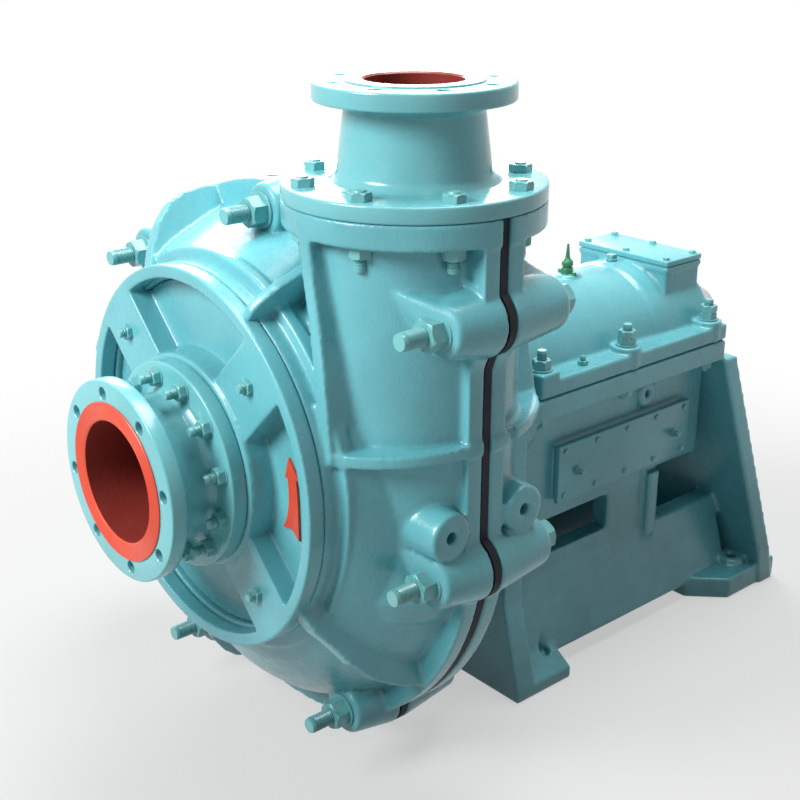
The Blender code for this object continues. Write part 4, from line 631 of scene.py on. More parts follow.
def prism(name: str, outline: Sequence[Point], low: float, high: float, axis: Axis = Axis.Y) -> Solid:
    """Extrude a closed plane outline along an axis.

    Args:
        name: Name of the object.
        outline: Closed outline across the axis.
        low: Height of the first end.
        high: Height of the second end.
        axis: Axis of the form.

    Returns:
        The prism.
    """
    verts = [axis.place(u, v, height) for height in (low, high) for u, v in outline]
    return new_object(name, verts, prism_faces(len(outline)))


def cylinder(name: str, radius: float | Point, low: float, high: float, count: int, axis: Axis = Axis.Y,
             centre: Point = (0.0, 0.0)) -> Solid:
    """Make a round or elliptical cylinder along an axis."""
    return prism(name, ring(radius, count, centre), low, high, axis)


def block(name: str, low: Spot, high: Spot) -> Solid:
    """Make a box from its lowest and its highest corner."""
    outline = [(low[0], low[1]), (high[0], low[1]), (high[0], high[1]), (low[0], high[1])]
    return prism(name, outline, low[2], high[2], Axis.Z)


def skinned(name: str, rings: Sequence[Sequence[Spot]]) -> Solid:
    """Skin rings of equal count into a solid with flat ends.

    Args:
        name: Name of the object.
        rings: The rings in order.

    Returns:
        The skinned solid.
    """
    count = len(rings[0])
    verts = [point for row in rings for point in row]
    last = count * (len(rings) - 1)
    faces = [list(range(count)), list(range(last, last + count))]
    for row in range(len(rings) - 1):
        base = row * count
        for i in range(count):
            j = (i + 1) % count
            faces.append([base + i, base + j, base + count + j, base + count + i])
    return new_object(name, verts, faces)


def hull(name: str, points: Sequence[Spot]) -> Solid:
    """Wrap points in their convex hull.

    Args:
        name: Name of the object.
        points: The points, some of which may lie inside.

    Returns:
        The hull.
    """
    work = bmesh.new()
    for point in points:
        work.verts.new(point)
    bmesh.ops.convex_hull(work, input=work.verts)
    loose = [v for v in work.verts if not v.link_faces]
    bmesh.ops.delete(work, geom=loose, context="VERTS")
    mesh = bpy.data.meshes.new(name)
    work.to_mesh(mesh)
    work.free()
    return linked(name, mesh)


def from_cad(label: str) -> Solid:
    """Copy a CAD node's solid.

    Args:
        label: Name of the node.

    Returns:
        The copy, drawn from the datum.
    """
    node = frame["nodes"][label]
    mesh = node.data.copy()
    mesh.transform(Matrix.Translation(-DATUM) @ node.matrix_world)
    return linked(label, mesh)


def eased(item: Solid, width: float, segments: int = 2) -> Solid:
    """Break the sharp edges of a machined solid.

    Args:
        item: The solid.
        width: Width of the broken edge.
        segments: Facets across it.

    Returns:
        The same object with its new mesh.
    """
    step = item.modifiers.new("edge", "BEVEL")
    step.width = width
    step.segments = segments
    step.limit_method = "ANGLE"
    step.angle_limit = SHARP
    return bake(item)


def combine(item: Solid, others: Sequence[Solid], operation: str) -> Solid:
    """Join or cut other solids into one, all in one step, and drop them.

    Args:
        item: The solid that stays.
        others: The solids that are used up.
        operation: UNION, DIFFERENCE or INTERSECT.

    Returns:
        The same object with its new mesh.
    """
    tools = bpy.data.collections.new("tools")
    for other in others:
        tools.objects.link(other)
    step = item.modifiers.new("combine", "BOOLEAN")
    step.operation = operation
    step.solver = "EXACT"
    step.operand_type = "COLLECTION"
    step.collection = tools
    bake(item)
    for other in others:
        bpy.data.objects.remove(other, do_unlink=True)
    bpy.data.collections.remove(tools)
    return item


def join(item: Solid, others: Sequence[Solid]) -> Solid:
    """Unite solids that overlap."""
    return combine(item, others, "UNION")


def cut(item: Solid, others: Sequence[Solid]) -> Solid:
    """Take solids away."""
    return combine(item, others, "DIFFERENCE")


def bake(item: Solid) -> Solid:
    """Apply an object's modifiers to its mesh.

    Args:
        item: The object.

    Returns:
        The same object, free of modifiers.
    """
    bpy.context.view_layer.update()
    graph = bpy.context.evaluated_depsgraph_get()
    mesh = bpy.data.meshes.new_from_object(item.evaluated_get(graph))
    item.modifiers.clear()
    item.data = mesh
    return item


@dataclass(frozen=True)
class SandCast:
    """Soft edges of a casting: the remesh's grid, the smoothing passes, and the share of faces kept."""

    voxel: float
    passes: int
    keep: float

    def soften(self, item: Solid) -> Solid:
        """Give a solid the soft edges and fillets of a casting.

        Args:
            item: Closed solid.

        Returns:
            The same object with its new mesh.
        """
        remesh = item.modifiers.new("remesh", "REMESH")
        remesh.mode = "VOXEL"
        remesh.voxel_size = self.voxel
        smooth = item.modifiers.new("smooth", "SMOOTH")
        smooth.factor = 0.5
        smooth.iterations = self.passes
        item.modifiers.new("thin", "DECIMATE").ratio = self.keep
        return bake(item)


def blended(parts: Sequence[Solid], name: str) -> Solid:
    """Merge separate solids into one object without cutting them.

    Args:
        parts: The solids, which are used up.
        name: Name of the object.

    Returns:
        One object with all their faces.
    """
    verts: list[Spot] = []
    faces: list[list[int]] = []
    for part in parts:
        base = len(verts)
        verts += [tuple(v.co) for v in part.data.vertices]
        faces += [[base + i for i in face.vertices] for face in part.data.polygons]
        bpy.data.objects.remove(part, do_unlink=True)
    return new_object(name, verts, faces)


def settle(item: Solid, name: str, finish: Finish, body: str = "root",
           stands_for: Sequence[str] = (), smooth_all: bool = False) -> Solid:
    """Move a mesh from the datum to its place, dress it and hang it on its body.

    Args:
        item: The piece, drawn from the datum.
        name: Its name in the scene.
        finish: Its finish.
        body: The body that it rides on.
        stands_for: CAD nodes that it replaces.
        smooth_all: Whether no edge is kept sharp.

    Returns:
        The finished piece.
    """
    mesh = item.data
    mesh.transform(Matrix.Translation(DATUM))
    mesh.materials.clear()
    mesh.materials.append(finish.material())
    mesh.shade_smooth()
    if not smooth_all:
        mesh.set_sharp_from_angle(angle=SHARP)
    item.name = name
    mesh.name = name
    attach(item, body)
    if stands_for:
        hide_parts(*stands_for)
    LOG.info("%s: %d faces", name, len(mesh.polygons))
    return item


# Camera, floor and light

@dataclass(frozen=True)
class Lamp:
    """A soft box that faces the pump."""

    label: str
    place: Spot
    size: float
    power: float


@dataclass(frozen=True)
class Studio:
    """White studio with the photograph's viewpoint."""

    camera_place: Spot = (1.750, -1.629, 1.4875)
    camera_tilt: float = math.radians(68.991)
    camera_pan: float = math.radians(49.256)
    lens_mm: float = 58.5
    target: Spot = (0.0, 0.0, 0.55)
    sky_tint: Colour = (0.94, 0.97, 1.0, 1.0)
    floor_size: float = 40.0
    floor_tone: float = 0.42
    fade_from: float = 1.0
    fade_to: float = 2.2
    sky: float = 0.11
    lamps: tuple[Lamp, ...] = (
        Lamp("key", (-0.4, -3.6, 3.0), 1.8, 215.0),
        Lamp("fill", (3.4, -1.6, 2.2), 1.6, 5.0),
        Lamp("top", (0.0, 0.5, 4.0), 2.2, 150.0),
        Lamp("back", (-3.4, 2.0, 2.3), 2.8, 160.0),
    )

    def build(self) -> None:
        """Set up the camera, the world, the floor and the lamps."""
        self._camera()
        self._world()
        self._floor()
        for lamp in self.lamps:
            self._lamp(lamp)
        bpy.context.scene.view_settings.view_transform = "Standard"
        LOG.info("studio: %d lamps", len(self.lamps))

    def _camera(self) -> None:
        """Place the camera at the photograph's viewpoint."""
        data = bpy.data.cameras.new("camera")
        data.lens = self.lens_mm
        camera = bpy.data.objects.new("camera", data)
        camera.location = self.camera_place
        camera.rotation_euler = (self.camera_tilt, 0.0, self.camera_pan)
        bpy.context.scene.collection.objects.link(camera)
        bpy.context.scene.camera = camera

    def _world(self) -> None:
        """Make the world white to the eye and in mirrors, and plain grey as a light."""
        world = bpy.data.worlds.new("studio")
        world.use_nodes = True
        bpy.context.scene.world = world
        graph = Graph(world.node_tree)
        white = graph.node("ShaderNodeBackground", {}, {"Color": WHITE, "Strength": 1.0})
        sky = graph.node("ShaderNodeBackground", {}, {"Color": self.sky_tint, "Strength": self.sky})
        shown = graph.node("ShaderNodeMixShader", {}, {0: seen(graph), 1: sky, 2: white})
        graph.node("ShaderNodeOutputWorld", {}, {"Surface": shown})

    def _floor(self) -> None:
        """Lay a pale floor that keeps the shadow and fades to white."""
        half = self.floor_size / 2
        corners = [(-half, -half, 0.0), (half, -half, 0.0), (half, half, 0.0), (-half, half, 0.0)]
        floor = new_object("floor", corners, [(0, 1, 2, 3)])
        material = bpy.data.materials.new("floor")
        material.use_nodes = True
        graph = Graph(material.node_tree)
        tone = self.floor_tone
        matt = graph.node("ShaderNodeBsdfDiffuse", {}, {"Color": (tone, tone, tone, 1.0)})
        white = graph.node("ShaderNodeEmission", {}, {"Color": WHITE, "Strength": 1.0})
        place = graph.node("ShaderNodeTexCoord", {}, {}, "Object")
        reach = graph.node("ShaderNodeVectorMath", {"operation": "LENGTH"}, {0: place}, 1)
        share = seen(graph) * (reach.step(self.fade_from, self.fade_to) * 0.5 + 0.5)
        shown = graph.node("ShaderNodeMixShader", {}, {0: share, 1: matt, 2: white})
        graph.node("ShaderNodeOutputMaterial", {}, {"Surface": shown})
        floor.data.materials.append(material)

    def _lamp(self, lamp: Lamp) -> None:
        """Hang a soft box that faces the target.

        Args:
            lamp: Its place, size and power.
        """
        data = bpy.data.lights.new(lamp.label, "AREA")
        data.shape = "DISK"
        data.size = lamp.size
        data.energy = lamp.power
        item = bpy.data.objects.new(lamp.label, data)
        item.location = lamp.place
        aim = Vector(self.target) - Vector(lamp.place)
        item.rotation_euler = aim.to_track_quat("-Z", "Y").to_euler()
        bpy.context.scene.collection.objects.link(item)


def seen(graph: Graph) -> Signal:
    """Tell rays from the camera, mirrors and glass from the rays that light the scene."""
    rays = ("Is Camera Ray", "Is Glossy Ray", "Is Transmission Ray")
    camera, glossy, through = (graph.node("ShaderNodeLightPath", {}, {}, ray) for ray in rays)
    return (camera + glossy + through).clamp()


# Fasteners, drawn along +Z from their seat

def nut(radius: float, height: float) -> Solid:
    """Make a hex nut with its corners turned off at both ends.

    Args:
        radius: Corner radius of the hexagon.
        height: Height over the seat.

    Returns:
        The nut, standing on zero.
    """
    solid = prism("nut", ring(radius, 6), 0.0, height, Axis.Z)
    cone = [(0.0, 0.0), (radius * NUT_SEAT, 0.0), (radius * NUT_CORNER, radius * NUT_RISE),
            (radius * NUT_CORNER, height - radius * NUT_DROP), (radius * NUT_TOP, height), (0.0, height)]
    return combine(solid, [turned("cone", cone, MEDIUM, Axis.Z)], "INTERSECT")


def stud(radius: float, low: float, high: float) -> Solid:
    """Make a threaded stud's end with a chamfered tip.

    Args:
        radius: Radius over the thread.
        low: Height at which the thread starts.
        high: Height of the tip.

    Returns:
        The stud's end.
    """
    root = radius - PITCH * THREAD_DEPTH
    profile: list[Point] = [(0.0, low)]
    turns = max(1, int((high - low - PITCH) / PITCH))
    for i in range(turns):
        base = low + i * PITCH
        profile += [(root, base), *((radius, base + PITCH * share) for share in THREAD_CREST)]
    tip = low + turns * PITCH
    profile += [(radius, tip), (root, high), (0.0, high)]
    return turned("stud", profile, THREAD_SIDES, Axis.Z)


def washer(radius: float, thickness: float) -> Solid:
    """Make a plain washer with broken edges."""
    profile = [(0.0, 0.0), (radius, 0.0), (radius, thickness), (0.0, thickness)]
    return turned("washer", rounded(profile, thickness * WASHER_ROUND, 2), MEDIUM, Axis.Z)


@dataclass(frozen=True)
class Fastener:
    """Base of the fasteners: drawn once, then repeated, turned a little differently at each spot."""

    twist: float = field(default=0.6, kw_only=True)

    def build(self) -> Solid:
        """Draw the fastener along +Z, standing on zero."""
        raise NotImplementedError

    def at(self, spots: Sequence[Spot], direction: Spot) -> Solid:
        """Repeat the fastener.

        Args:
            spots: Places of its seat.
            direction: Where its +Z points.

        Returns:
            One mesh with all copies.
        """
        item = self.build()
        aim = Vector(direction).to_track_quat("Z", "Y").to_matrix().to_4x4()
        verts: list[Spot] = []
        faces: list[list[int]] = []
        for i, spot in enumerate(spots):
            spin = Matrix.Rotation(self.twist * math.sin(i * TWIST_STEP + 1.0), 4, "Z")
            place = Matrix.Translation(spot) @ aim @ spin
            base = len(verts)
            verts += [tuple(place @ v.co) for v in item.data.vertices]
            faces += [[base + k for k in face.vertices] for face in item.data.polygons]
        bpy.data.objects.remove(item, do_unlink=True)
        return new_object("set", verts, faces)


@dataclass(frozen=True)
class NutStack(Fastener):
    """A washer, one or more nuts and the stud's end past them."""

    nut_r: float
    nut_h: float
    stud_r: float
    tail: float
    washer_t: float = 0.0
    nuts: int = 1

    def build(self) -> Solid:
        """Stack the washer, the nuts and the stud's end.

        Returns:
            The stack as one mesh, standing on zero.
        """
        parts = [washer(self.nut_r * WASHER_OVER_NUT, self.washer_t)] if self.washer_t else []
        for i in range(self.nuts):
            piece = nut(self.nut_r, self.nut_h * NUT_FILL)
            piece.data.transform(Matrix.Translation((0.0, 0.0, self.washer_t + self.nut_h * i)))
            piece.data.transform(Matrix.Rotation(math.radians(NUT_TURN * i), 4, "Z"))
            parts.append(piece)
        top = self.washer_t + self.nut_h * self.nuts
        parts.append(stud(self.stud_r, top - WELD, top + self.tail))
        return blended(parts, "nut_set")


@dataclass(frozen=True)
class Screw(Fastener):
    """A low hexagon screw head with a washer face."""

    head_r: float
    head_h: float

    def build(self) -> Solid:
        """Draw the head over its washer face."""
        face = washer(self.head_r * FACE_OVER_HEAD, self.head_h * FACE_SHARE)
        return blended([face, nut(self.head_r, self.head_h)], "screw")


# Casing

@dataclass(frozen=True)
class Fin:
    """A flat rib in the plane of the shaft and one direction across it.

    The crest and the heel are (reach, y) points; the root gives the reaches at the flange's back.
    """

    origin: Point
    degrees: float
    thickness: float
    crest: tuple[Point, ...]
    root: tuple[float, ...] = ()
    heel: tuple[Point, ...] = ()

    def build(self, flange_y: float = 0.0) -> Solid:
        """Draw the rib as a flat solid.

        Args:
            flange_y: Height of the parting flange's back.

        Returns:
            The rib.
        """
        outline = (*self.crest, *((reach, flange_y) for reach in self.root), *self.heel)
        along, across = polar(1.0, self.degrees), polar(self.thickness / 2, self.degrees + 90)
        verts = [(self.origin[0] + along[0] * reach + side * across[0], y,
                  self.origin[1] + along[1] * reach + side * across[1])
                 for side in (-1, 1) for reach, y in outline]
        return new_object("fin", verts, prism_faces(len(outline)))


@dataclass(frozen=True)
class Casing:
    """Both halves of the split casing, with their ribs, lugs, ears and neck."""

    centre: Point = (-0.055, -0.070)
    flange_r: float = 0.503
    flat_x: float = 0.437
    flange_t: float = 0.032
    lip: float = 0.008
    lip_half: float = 0.0076
    lip_disc_half: float = 0.0075
    lip_inset: float = 0.002
    lip_disc_inset: float = 0.0015
    lip_w: float = 0.040
    lip_groove_half: float = 0.010
    belly_r: float = 0.462
    wall: float = 0.018
    edge_r: float = 0.345
    edge_step: float = 0.006
    shoulder: float = 0.022
    front_y: float = -0.208
    rear_y: float = 0.150
    collar_r: float = 0.318
    collar_t: float = 0.012
    collar_y: float = -0.2347
    opening_r: float = 0.3025
    neck_x: float = 0.264
    neck_r: Point = (0.158, 0.180)
    neck_top: float = 0.4545
    neck_foot: float = -0.170
    neck_flange_r: float = 0.206
    neck_flange_t: float = 0.040
    neck_shares: tuple[float, ...] = (0.0, 0.1, 0.3, 0.6, 1.0)
    dome_flat: float = 0.84
    dome_drop: float = 0.11
    dome_shift: float = 0.03
    passage_r: float = 0.128
    neck_rib_half: float = 0.013
    neck_rib_inset: float = 0.01
    # Place and reach of the upright rib at the top, then place, height and reach further down
    neck_rib_top: Point = (0.246, 0.206)
    neck_rib_line: tuple[Spot, ...] = ((0.286, 0.26, 0.213), (0.318, 0.085, 0.224))
    waist_r: Point = (0.178, 0.232)
    waist_z: Point = (0.080, 0.101)
    web_half: float = 0.201
    web_foot: float = 0.285
    web_blend: float = 0.075
    tie_r: float = 0.472
    tie_angles: tuple[float, ...] = (137.0, 84.0, -6.5, -59.0, -116.0, 190.0)
    tie_neck: Point = (0.430, 0.295)
    tie_front: NutStack = NutStack(0.0265, 0.028, 0.0145, 0.044, 0.004, twist=0.5)
    tie_rear: NutStack = NutStack(0.0265, 0.028, 0.0145, 0.007, 0.004, twist=0.5)
    lug_face_r: float = 0.044
    lug_root_r: float = 0.058
    lug_round: float = 0.006
    lug_front: float = -0.098
    lug_rear: float = 0.138
    # Lug number, direction and reach of each web to the body
    lug_webs: tuple[tuple[int, float, float], ...] = ((0, -20.0, 0.11), (3, 110.0, 0.10), (4, 60.0, 0.10))
    lug_web_w: float = 0.96
    lug_web_h: float = 0.93
    # Lug number and root points of each web on the flank, for the suction half
    flank_roots: tuple[tuple[int, tuple[Spot, ...]], ...] = (
        (6, ((0.362, -0.138, 0.353), (0.405, -0.058, 0.345), (0.34, -0.120, 0.300))),
        (2, ((0.370, -0.128, -0.066), (0.408, -0.060, -0.070), (0.35, -0.110, -0.120))))
    flank_share: float = 0.97
    front_fins: tuple[Fin, ...] = (
        Fin((0.0, 0.0), 122.0, 0.030, ((0.335, -0.225), (0.372, -0.206), (0.414, -0.178), (0.444, -0.147),
                                       (0.460, -0.110), (0.4655, -0.068)), (0.4655, 0.36), ((0.30, -0.20),)),
        Fin((0.0, 0.0), 60.0, 0.018, ((0.326, -0.256), (0.346, -0.253), (0.366, -0.240), (0.390, -0.214),
                                      (0.412, -0.178), (0.430, -0.132), (0.440, -0.086)), (0.440, 0.30)),
        Fin((0.27, -0.19), -73.0, 0.030, ((-0.02, -0.256), (0.03, -0.234), (0.066, -0.205), (0.108, -0.176),
                                          (0.150, -0.136), (0.180, -0.085)),
            (0.194, 0.05), ((-0.02, -0.10),)))
    front_rib_angles: tuple[float, ...] = (-152.0, -108.0)
    rear_rib_angles: tuple[float, ...] = (14.0, -44.0, -92.0, -152.0, 116.0, 60.0)
    belly_rib_h: float = 0.030
    belly_rib_t: float = 0.024
    seat_r: float = 0.236
    seat_y: float = 0.168
    box_r: float = 0.1405
    bore_r: float = 0.0985
    ear_y: Point = (-0.078, 0.082)
    ear_z: float = -0.040
    ear_r: float = 0.040
    ear_flare: float = 1.15
    ear_h: float = 0.009
    ear_round: float = 0.004
    ear_hole_r: float = 0.010
    ear_hole_d: float = 0.030
    far_ear_r: float = 0.043
    far_ear_x: Point = (-0.535, -0.38)
    far_ear_at: Point = (-0.110, 0.030)
    recess_d: float = 0.012
    recess_y: Point = (0.052, 0.067)
    recess_z: Point = (0.030, 0.125)
    sand: SandCast = SandCast(0.0036, 5, 0.35)
    # Share of the run to the flange, of the growth in radius, and of the centre's set-off
    profile: tuple[Spot, ...] = ((0.0, 0.0, 0.0), (0.12, 0.22, 0.3), (0.3, 0.46, 0.6), (0.48, 0.66, 0.84),
                                 (0.68, 0.83, 1.0), (1.0, 1.0, 1.0))
    hollow: tuple[Spot, ...] = ((0.0, 0.0, 0.0), (0.5, 0.62, 0.85), (1.0, 1.0, 1.0))

    def ties(self) -> list[Point]:
        """Places of the tie bolts across the shaft."""
        spots = [polar(self.tie_r, angle) for angle in self.tie_angles]
        return [(self.centre[0] + x, self.centre[1] + z) for x, z in spots] + [self.tie_neck]

    def outline(self, inset: float = 0.0) -> list[Point]:
        """Outline of the parting flange: round below, flat on the flank, square at the neck.

        Args:
            inset: Distance by which the outline shrinks.

        Returns:
            The closed outline across the shaft.
        """
        radius, flat = self.flange_r - inset, self.flat_x - inset
        left, right = self.neck_x - self.web_half + inset, self.neck_x + self.web_half - inset
        start = math.asin(-math.sqrt(radius ** 2 - (flat - self.centre[0]) ** 2) / radius)
        stop = math.acos((left - self.centre[0]) / radius) - math.tau
        points = [(left, self.neck_top - inset), (right, self.neck_top - inset), (right, self.web_foot)]
        for i in range(1, SMALL):
            share = i / SMALL
            ease = share * share * (3 - 2 * share)
            points.append((right + (flat - right) * ease, self.web_foot - self.web_blend * share))
        points.append((flat, self.web_foot - self.web_blend))
        for i in range(FINE + 1):
            angle = start + (stop - start) * i / FINE
            points.append((self.centre[0] + radius * math.cos(angle),
                           self.centre[1] + radius * math.sin(angle)))
        return points

    def rings(self, edge_r: float, belly_r: float, edge_y: float, flange_y: float, end_y: float,
              shares: Sequence[Spot]) -> list[list[Spot]]:
        """Rings of the belly from its edge near the shaft to the parting flange.

        Args:
            edge_r: Radius at the edge.
            belly_r: Radius at the flange.
            edge_y: Height of the edge.
            flange_y: Height of the flange's back.
            end_y: Height of the last ring.
            shares: Shares of run, growth and set-off of each ring but the last.

        Returns:
            The rings, from the edge outward.
        """
        rows = []
        for run, growth, shift in (*shares, (None, 1.0, 1.0)):
            radius = edge_r + (belly_r - edge_r) * growth
            y = end_y if run is None else edge_y + (flange_y - edge_y) * run
            middle = (self.centre[0] * shift, self.centre[1] * shift)
            rows.append([(u, y, v) for u, v in ring(radius, FINE, middle)])
        return rows

    def skin(self, degrees: float, edge_y: float, flange_y: float) -> list[Point]:
        """Find the belly's skin in the plane at one angle.

        Args:
            degrees: Angle of the plane.
            edge_y: Height of the edge near the shaft.
            flange_y: Height of the flange's back.

        Returns:
            Points (radius, y) from the edge to the flange.
        """
        direction = Vector(polar(1.0, degrees))
        points = []
        for run, growth, shift in self.profile:
            centre = Vector(self.centre) * shift
            radius = self.edge_r + (self.belly_r - self.edge_r) * growth
            lean = direction.dot(centre)
            reach = lean + math.sqrt(radius ** 2 - centre.length_squared + lean ** 2)
            points.append((reach, edge_y + (flange_y - edge_y) * run))
        return points

    def belly_ribs(self, angles: Sequence[float], edge_y: float, flange_y: float) -> list[Solid]:
        """Ribs that follow the belly from its edge to the flange.

        Args:
            angles: Angle of each rib.
            edge_y: Height of the edge near the shaft.
            flange_y: Height of the flange's back.

        Returns:
            The ribs.
        """
        forms = []
        for degrees in angles:
            skin = self.skin(degrees, edge_y, flange_y)
            inner = [(reach - self.belly_rib_h / 2, y) for reach, y in skin]
            outer = [(reach + self.belly_rib_h, y) for reach, y in reversed(skin)]
            forms.append(Fin((0.0, 0.0), degrees, self.belly_rib_t, (*inner, *outer)).build())
        return forms

    def neck(self, side: int) -> list[Solid]:
        """Neck column with its domed foot, the square-off flange, and ribs below that flange.

        Args:
            side: -1 for the suction half, 1 for the drive half.

        Returns:
            The overlapping solids of the neck.
        """
        rows = []
        for share in self.neck_shares:
            rest = 1 - share
            bend = math.sqrt(1 - rest ** 2 * self.dome_flat)
            z = self.neck_foot - self.dome_drop * rest
            radii = (self.neck_r[0] * bend, self.neck_r[1] * bend)
            middle = (self.neck_x - self.dome_shift * rest, 0.0)
            rows.append([(x, y, z) for x, y in ring(radii, FINE, middle)])
        rows.append([(x, y, self.neck_top) for x, y in ring(self.neck_r, FINE, (self.neck_x, 0.0))])
        flange = cylinder("square_off", self.neck_flange_r, self.neck_top - self.neck_flange_t, self.neck_top,
                          FINE, Axis.Z, (self.neck_x, 0.0))
        return [skinned("neck", rows), flange, self.neck_rib(side), self.waist_rib(side)]

    def neck_rib(self, side: int) -> Solid:
        """Upright rib on the face of the neck, leaning with the flow.

        Args:
            side: -1 for the suction half, 1 for the drive half.

        Returns:
            The rib.
        """
        half, (x, reach) = self.neck_rib_half, self.neck_rib_top
        rows = []
        for x, z, reach in ((x, self.neck_top - self.neck_rib_inset, reach), *self.neck_rib_line):
            rows.append([(x - half, 0.0, z), (x + half, 0.0, z), (x + half, side * reach, z),
                         (x - half, side * reach, z)])
        return skinned("neck_rib", rows)

    def waist_rib(self, side: int) -> Solid:
        """Level rib that wraps the foot of the neck.

        Args:
            side: -1 for the suction half, 1 for the drive half.

        Returns:
            The rib.
        """
        wide, deep = self.waist_r
        arc = [(self.neck_x + wide * math.sin(math.pi / 2 * i / SMALL),
                side * deep * math.cos(math.pi / 2 * i / SMALL)) for i in range(SMALL + 1)]
        return prism("waist_rib", arc + [(self.neck_x, 0.0)], *self.waist_z, Axis.Z)

    def lugs(self, side: int) -> list[Solid]:
        """Tapered lugs of the tie bolts, with webs to the body and to the flank.

        Args:
            side: -1 for the suction half, 1 for the drive half.

        Returns:
            The lugs and webs.
        """
        root = side * self.lip
        face = self.lug_front if side < 0 else self.lug_rear
        profile = rounded([(0.0, root), (self.lug_root_r, root), (self.lug_face_r, face), (0.0, face)],
                          self.lug_round)
        forms = [turned("lug", profile, MEDIUM, Axis.Y, place) for place in self.ties()]
        forms += self.flank_webs(side, face)
        for number, angle, reach in self.lug_webs:
            x, z = self.ties()[number]
            tip, spread = polar(reach, angle), polar(self.lug_face_r * self.lug_web_w, angle + 90)
            outline = [(x + spread[0], z + spread[1]), (x + tip[0], z + tip[1]),
                       (x - spread[0], z - spread[1])]
            low, high = sorted((root, face * self.lug_web_h))
            forms.append(prism("web", outline, low, high, Axis.Y))
        return forms

    def flank_webs(self, side: int, face: float) -> list[Solid]:
        """Sloping webs from the neck and the waist to the two lugs on the flank.

        Args:
            side: -1 for the suction half, 1 for the drive half.
            face: Height of the lugs' faces.

        Returns:
            The webs.
        """
        forms = []
        for number, spots in self.flank_roots:
            points = [(x, y if side < 0 else -y, z) for x, y, z in spots]
            points += [(u, face * self.flank_share, v)
                       for u, v in ring(self.lug_face_r * self.flank_share, SMALL, self.ties()[number])]
            points += [(u, side * self.lip, v) for u, v in ring(self.lug_face_r, SMALL, self.ties()[number])]
            forms.append(hull("web", points))
        return forms

    def ears(self, side: int) -> list[Solid]:
        """Round ears on the flank, and one on the far side of the suction half.

        Args:
            side: -1 for the suction half, 1 for the drive half.

        Returns:
            The ears.
        """
        low, top = self.flat_x - self.wall * 4, self.flat_x + self.ear_h
        profile = [(0.0, low), (self.ear_r * self.ear_flare, low), (self.ear_r, top), (0.0, top)]
        forms = [turned("ear", rounded(profile, self.ear_round), MEDIUM, Axis.X,
                        (self.ear_y[side > 0], self.ear_z))]
        if side < 0:
            forms.append(cylinder("far_ear", self.far_ear_r, *self.far_ear_x, MEDIUM, Axis.X,
                                  self.far_ear_at))
        return forms

    def inside(self, edge_y: float, end_y: float) -> Solid:
        """Hollow of one half, which the liner fills.

        Args:
            edge_y: Height of the edge near the shaft.
            end_y: Height of the open end.

        Returns:
            The solid to cut away.
        """
        way = math.copysign(1, end_y - edge_y)
        rows = self.rings(self.edge_r - self.wall, self.belly_r - self.wall, edge_y + way * self.wall,
                          end_y - way * self.flange_t, end_y, self.hollow)
        return skinned("inside", rows)

    def half(self, side: int) -> Solid:
        """Build one half: unite its forms, hollow it and give it cast edges.

        Args:
            side: -1 for the suction half, 1 for the drive half.

        Returns:
            The half as one casting.
        """
        edge_y = self.front_y if side < 0 else self.rear_y
        root = side * self.lip
        flange_y = root + side * self.flange_t
        belly = skinned("belly", self.rings(self.edge_r, self.belly_r, edge_y, flange_y, root, self.profile))
        low, high = sorted((root, flange_y))
        forms = [prism("flange", self.outline(), low, high), *self.neck(side), *self.lugs(side),
                 *self.ears(side)]
        if side < 0:
            forms += [fin.build(flange_y) for fin in self.front_fins]
            forms += self.belly_ribs(self.front_rib_angles, edge_y, flange_y)
            outer, inner = self.edge_r + self.edge_step, self.collar_r + self.collar_t
            step = [(0.0, edge_y + self.shoulder), (outer, edge_y + self.shoulder), (outer, edge_y),
                    (inner, edge_y), (inner, self.collar_y), (0.0, self.collar_y)]
            forms.append(turned("collar", step, FINE))
        else:
            forms += self.belly_ribs(self.rear_rib_angles, edge_y, flange_y)
            forms.append(cylinder("seat", self.seat_r, edge_y - self.shoulder, self.seat_y, FINE))
        join(belly, forms)
        return self.sand.soften(cut(belly, self.hollows(side, edge_y)))

    def passage(self, count: int) -> Solid:
        """Round way from the volute up through the neck."""
        return cylinder("passage", self.passage_r, 0.0, self.neck_top + OVERRUN, count, Axis.Z,
                        (self.neck_x, 0.0))

    def hollows(self, side: int, edge_y: float) -> list[Solid]:
        """Everything cut from one half.

        Args:
            side: -1 for the suction half, 1 for the drive half.
            edge_y: Height of the edge near the shaft.

        Returns:
            The solids to cut away.
        """
        reach = self.flange_r * 2
        near = side * self.lip
        low, high = sorted((near, -side * reach))
        top = self.flat_x + self.ear_h
        cuts = [block("trim", (-reach, low, -reach), (reach, high, reach)), self.inside(edge_y, 0.0),
                self.passage(FINE),
                cylinder("ear_hole", self.ear_hole_r, top - self.ear_hole_d, top + OVERRUN, SMALL, Axis.X,
                         (self.ear_y[side > 0], self.ear_z))]
        if side < 0:
            cuts.append(cylinder("opening", self.opening_r, self.collar_y - OVERRUN * 3, near, FINE))
        else:
            cuts.append(cylinder("bore", self.bore_r, 0.0, self.rear_y + OVERRUN, FINE))
            cuts.append(cylinder("box_seat", self.box_r, self.rear_y, self.seat_y + OVERRUN, FINE))
            cuts.append(block("recess", (self.flat_x - self.recess_d, self.recess_y[0], self.recess_z[0]),
                              (self.flat_x + OVERRUN, self.recess_y[1], self.recess_z[1])))
        return cuts

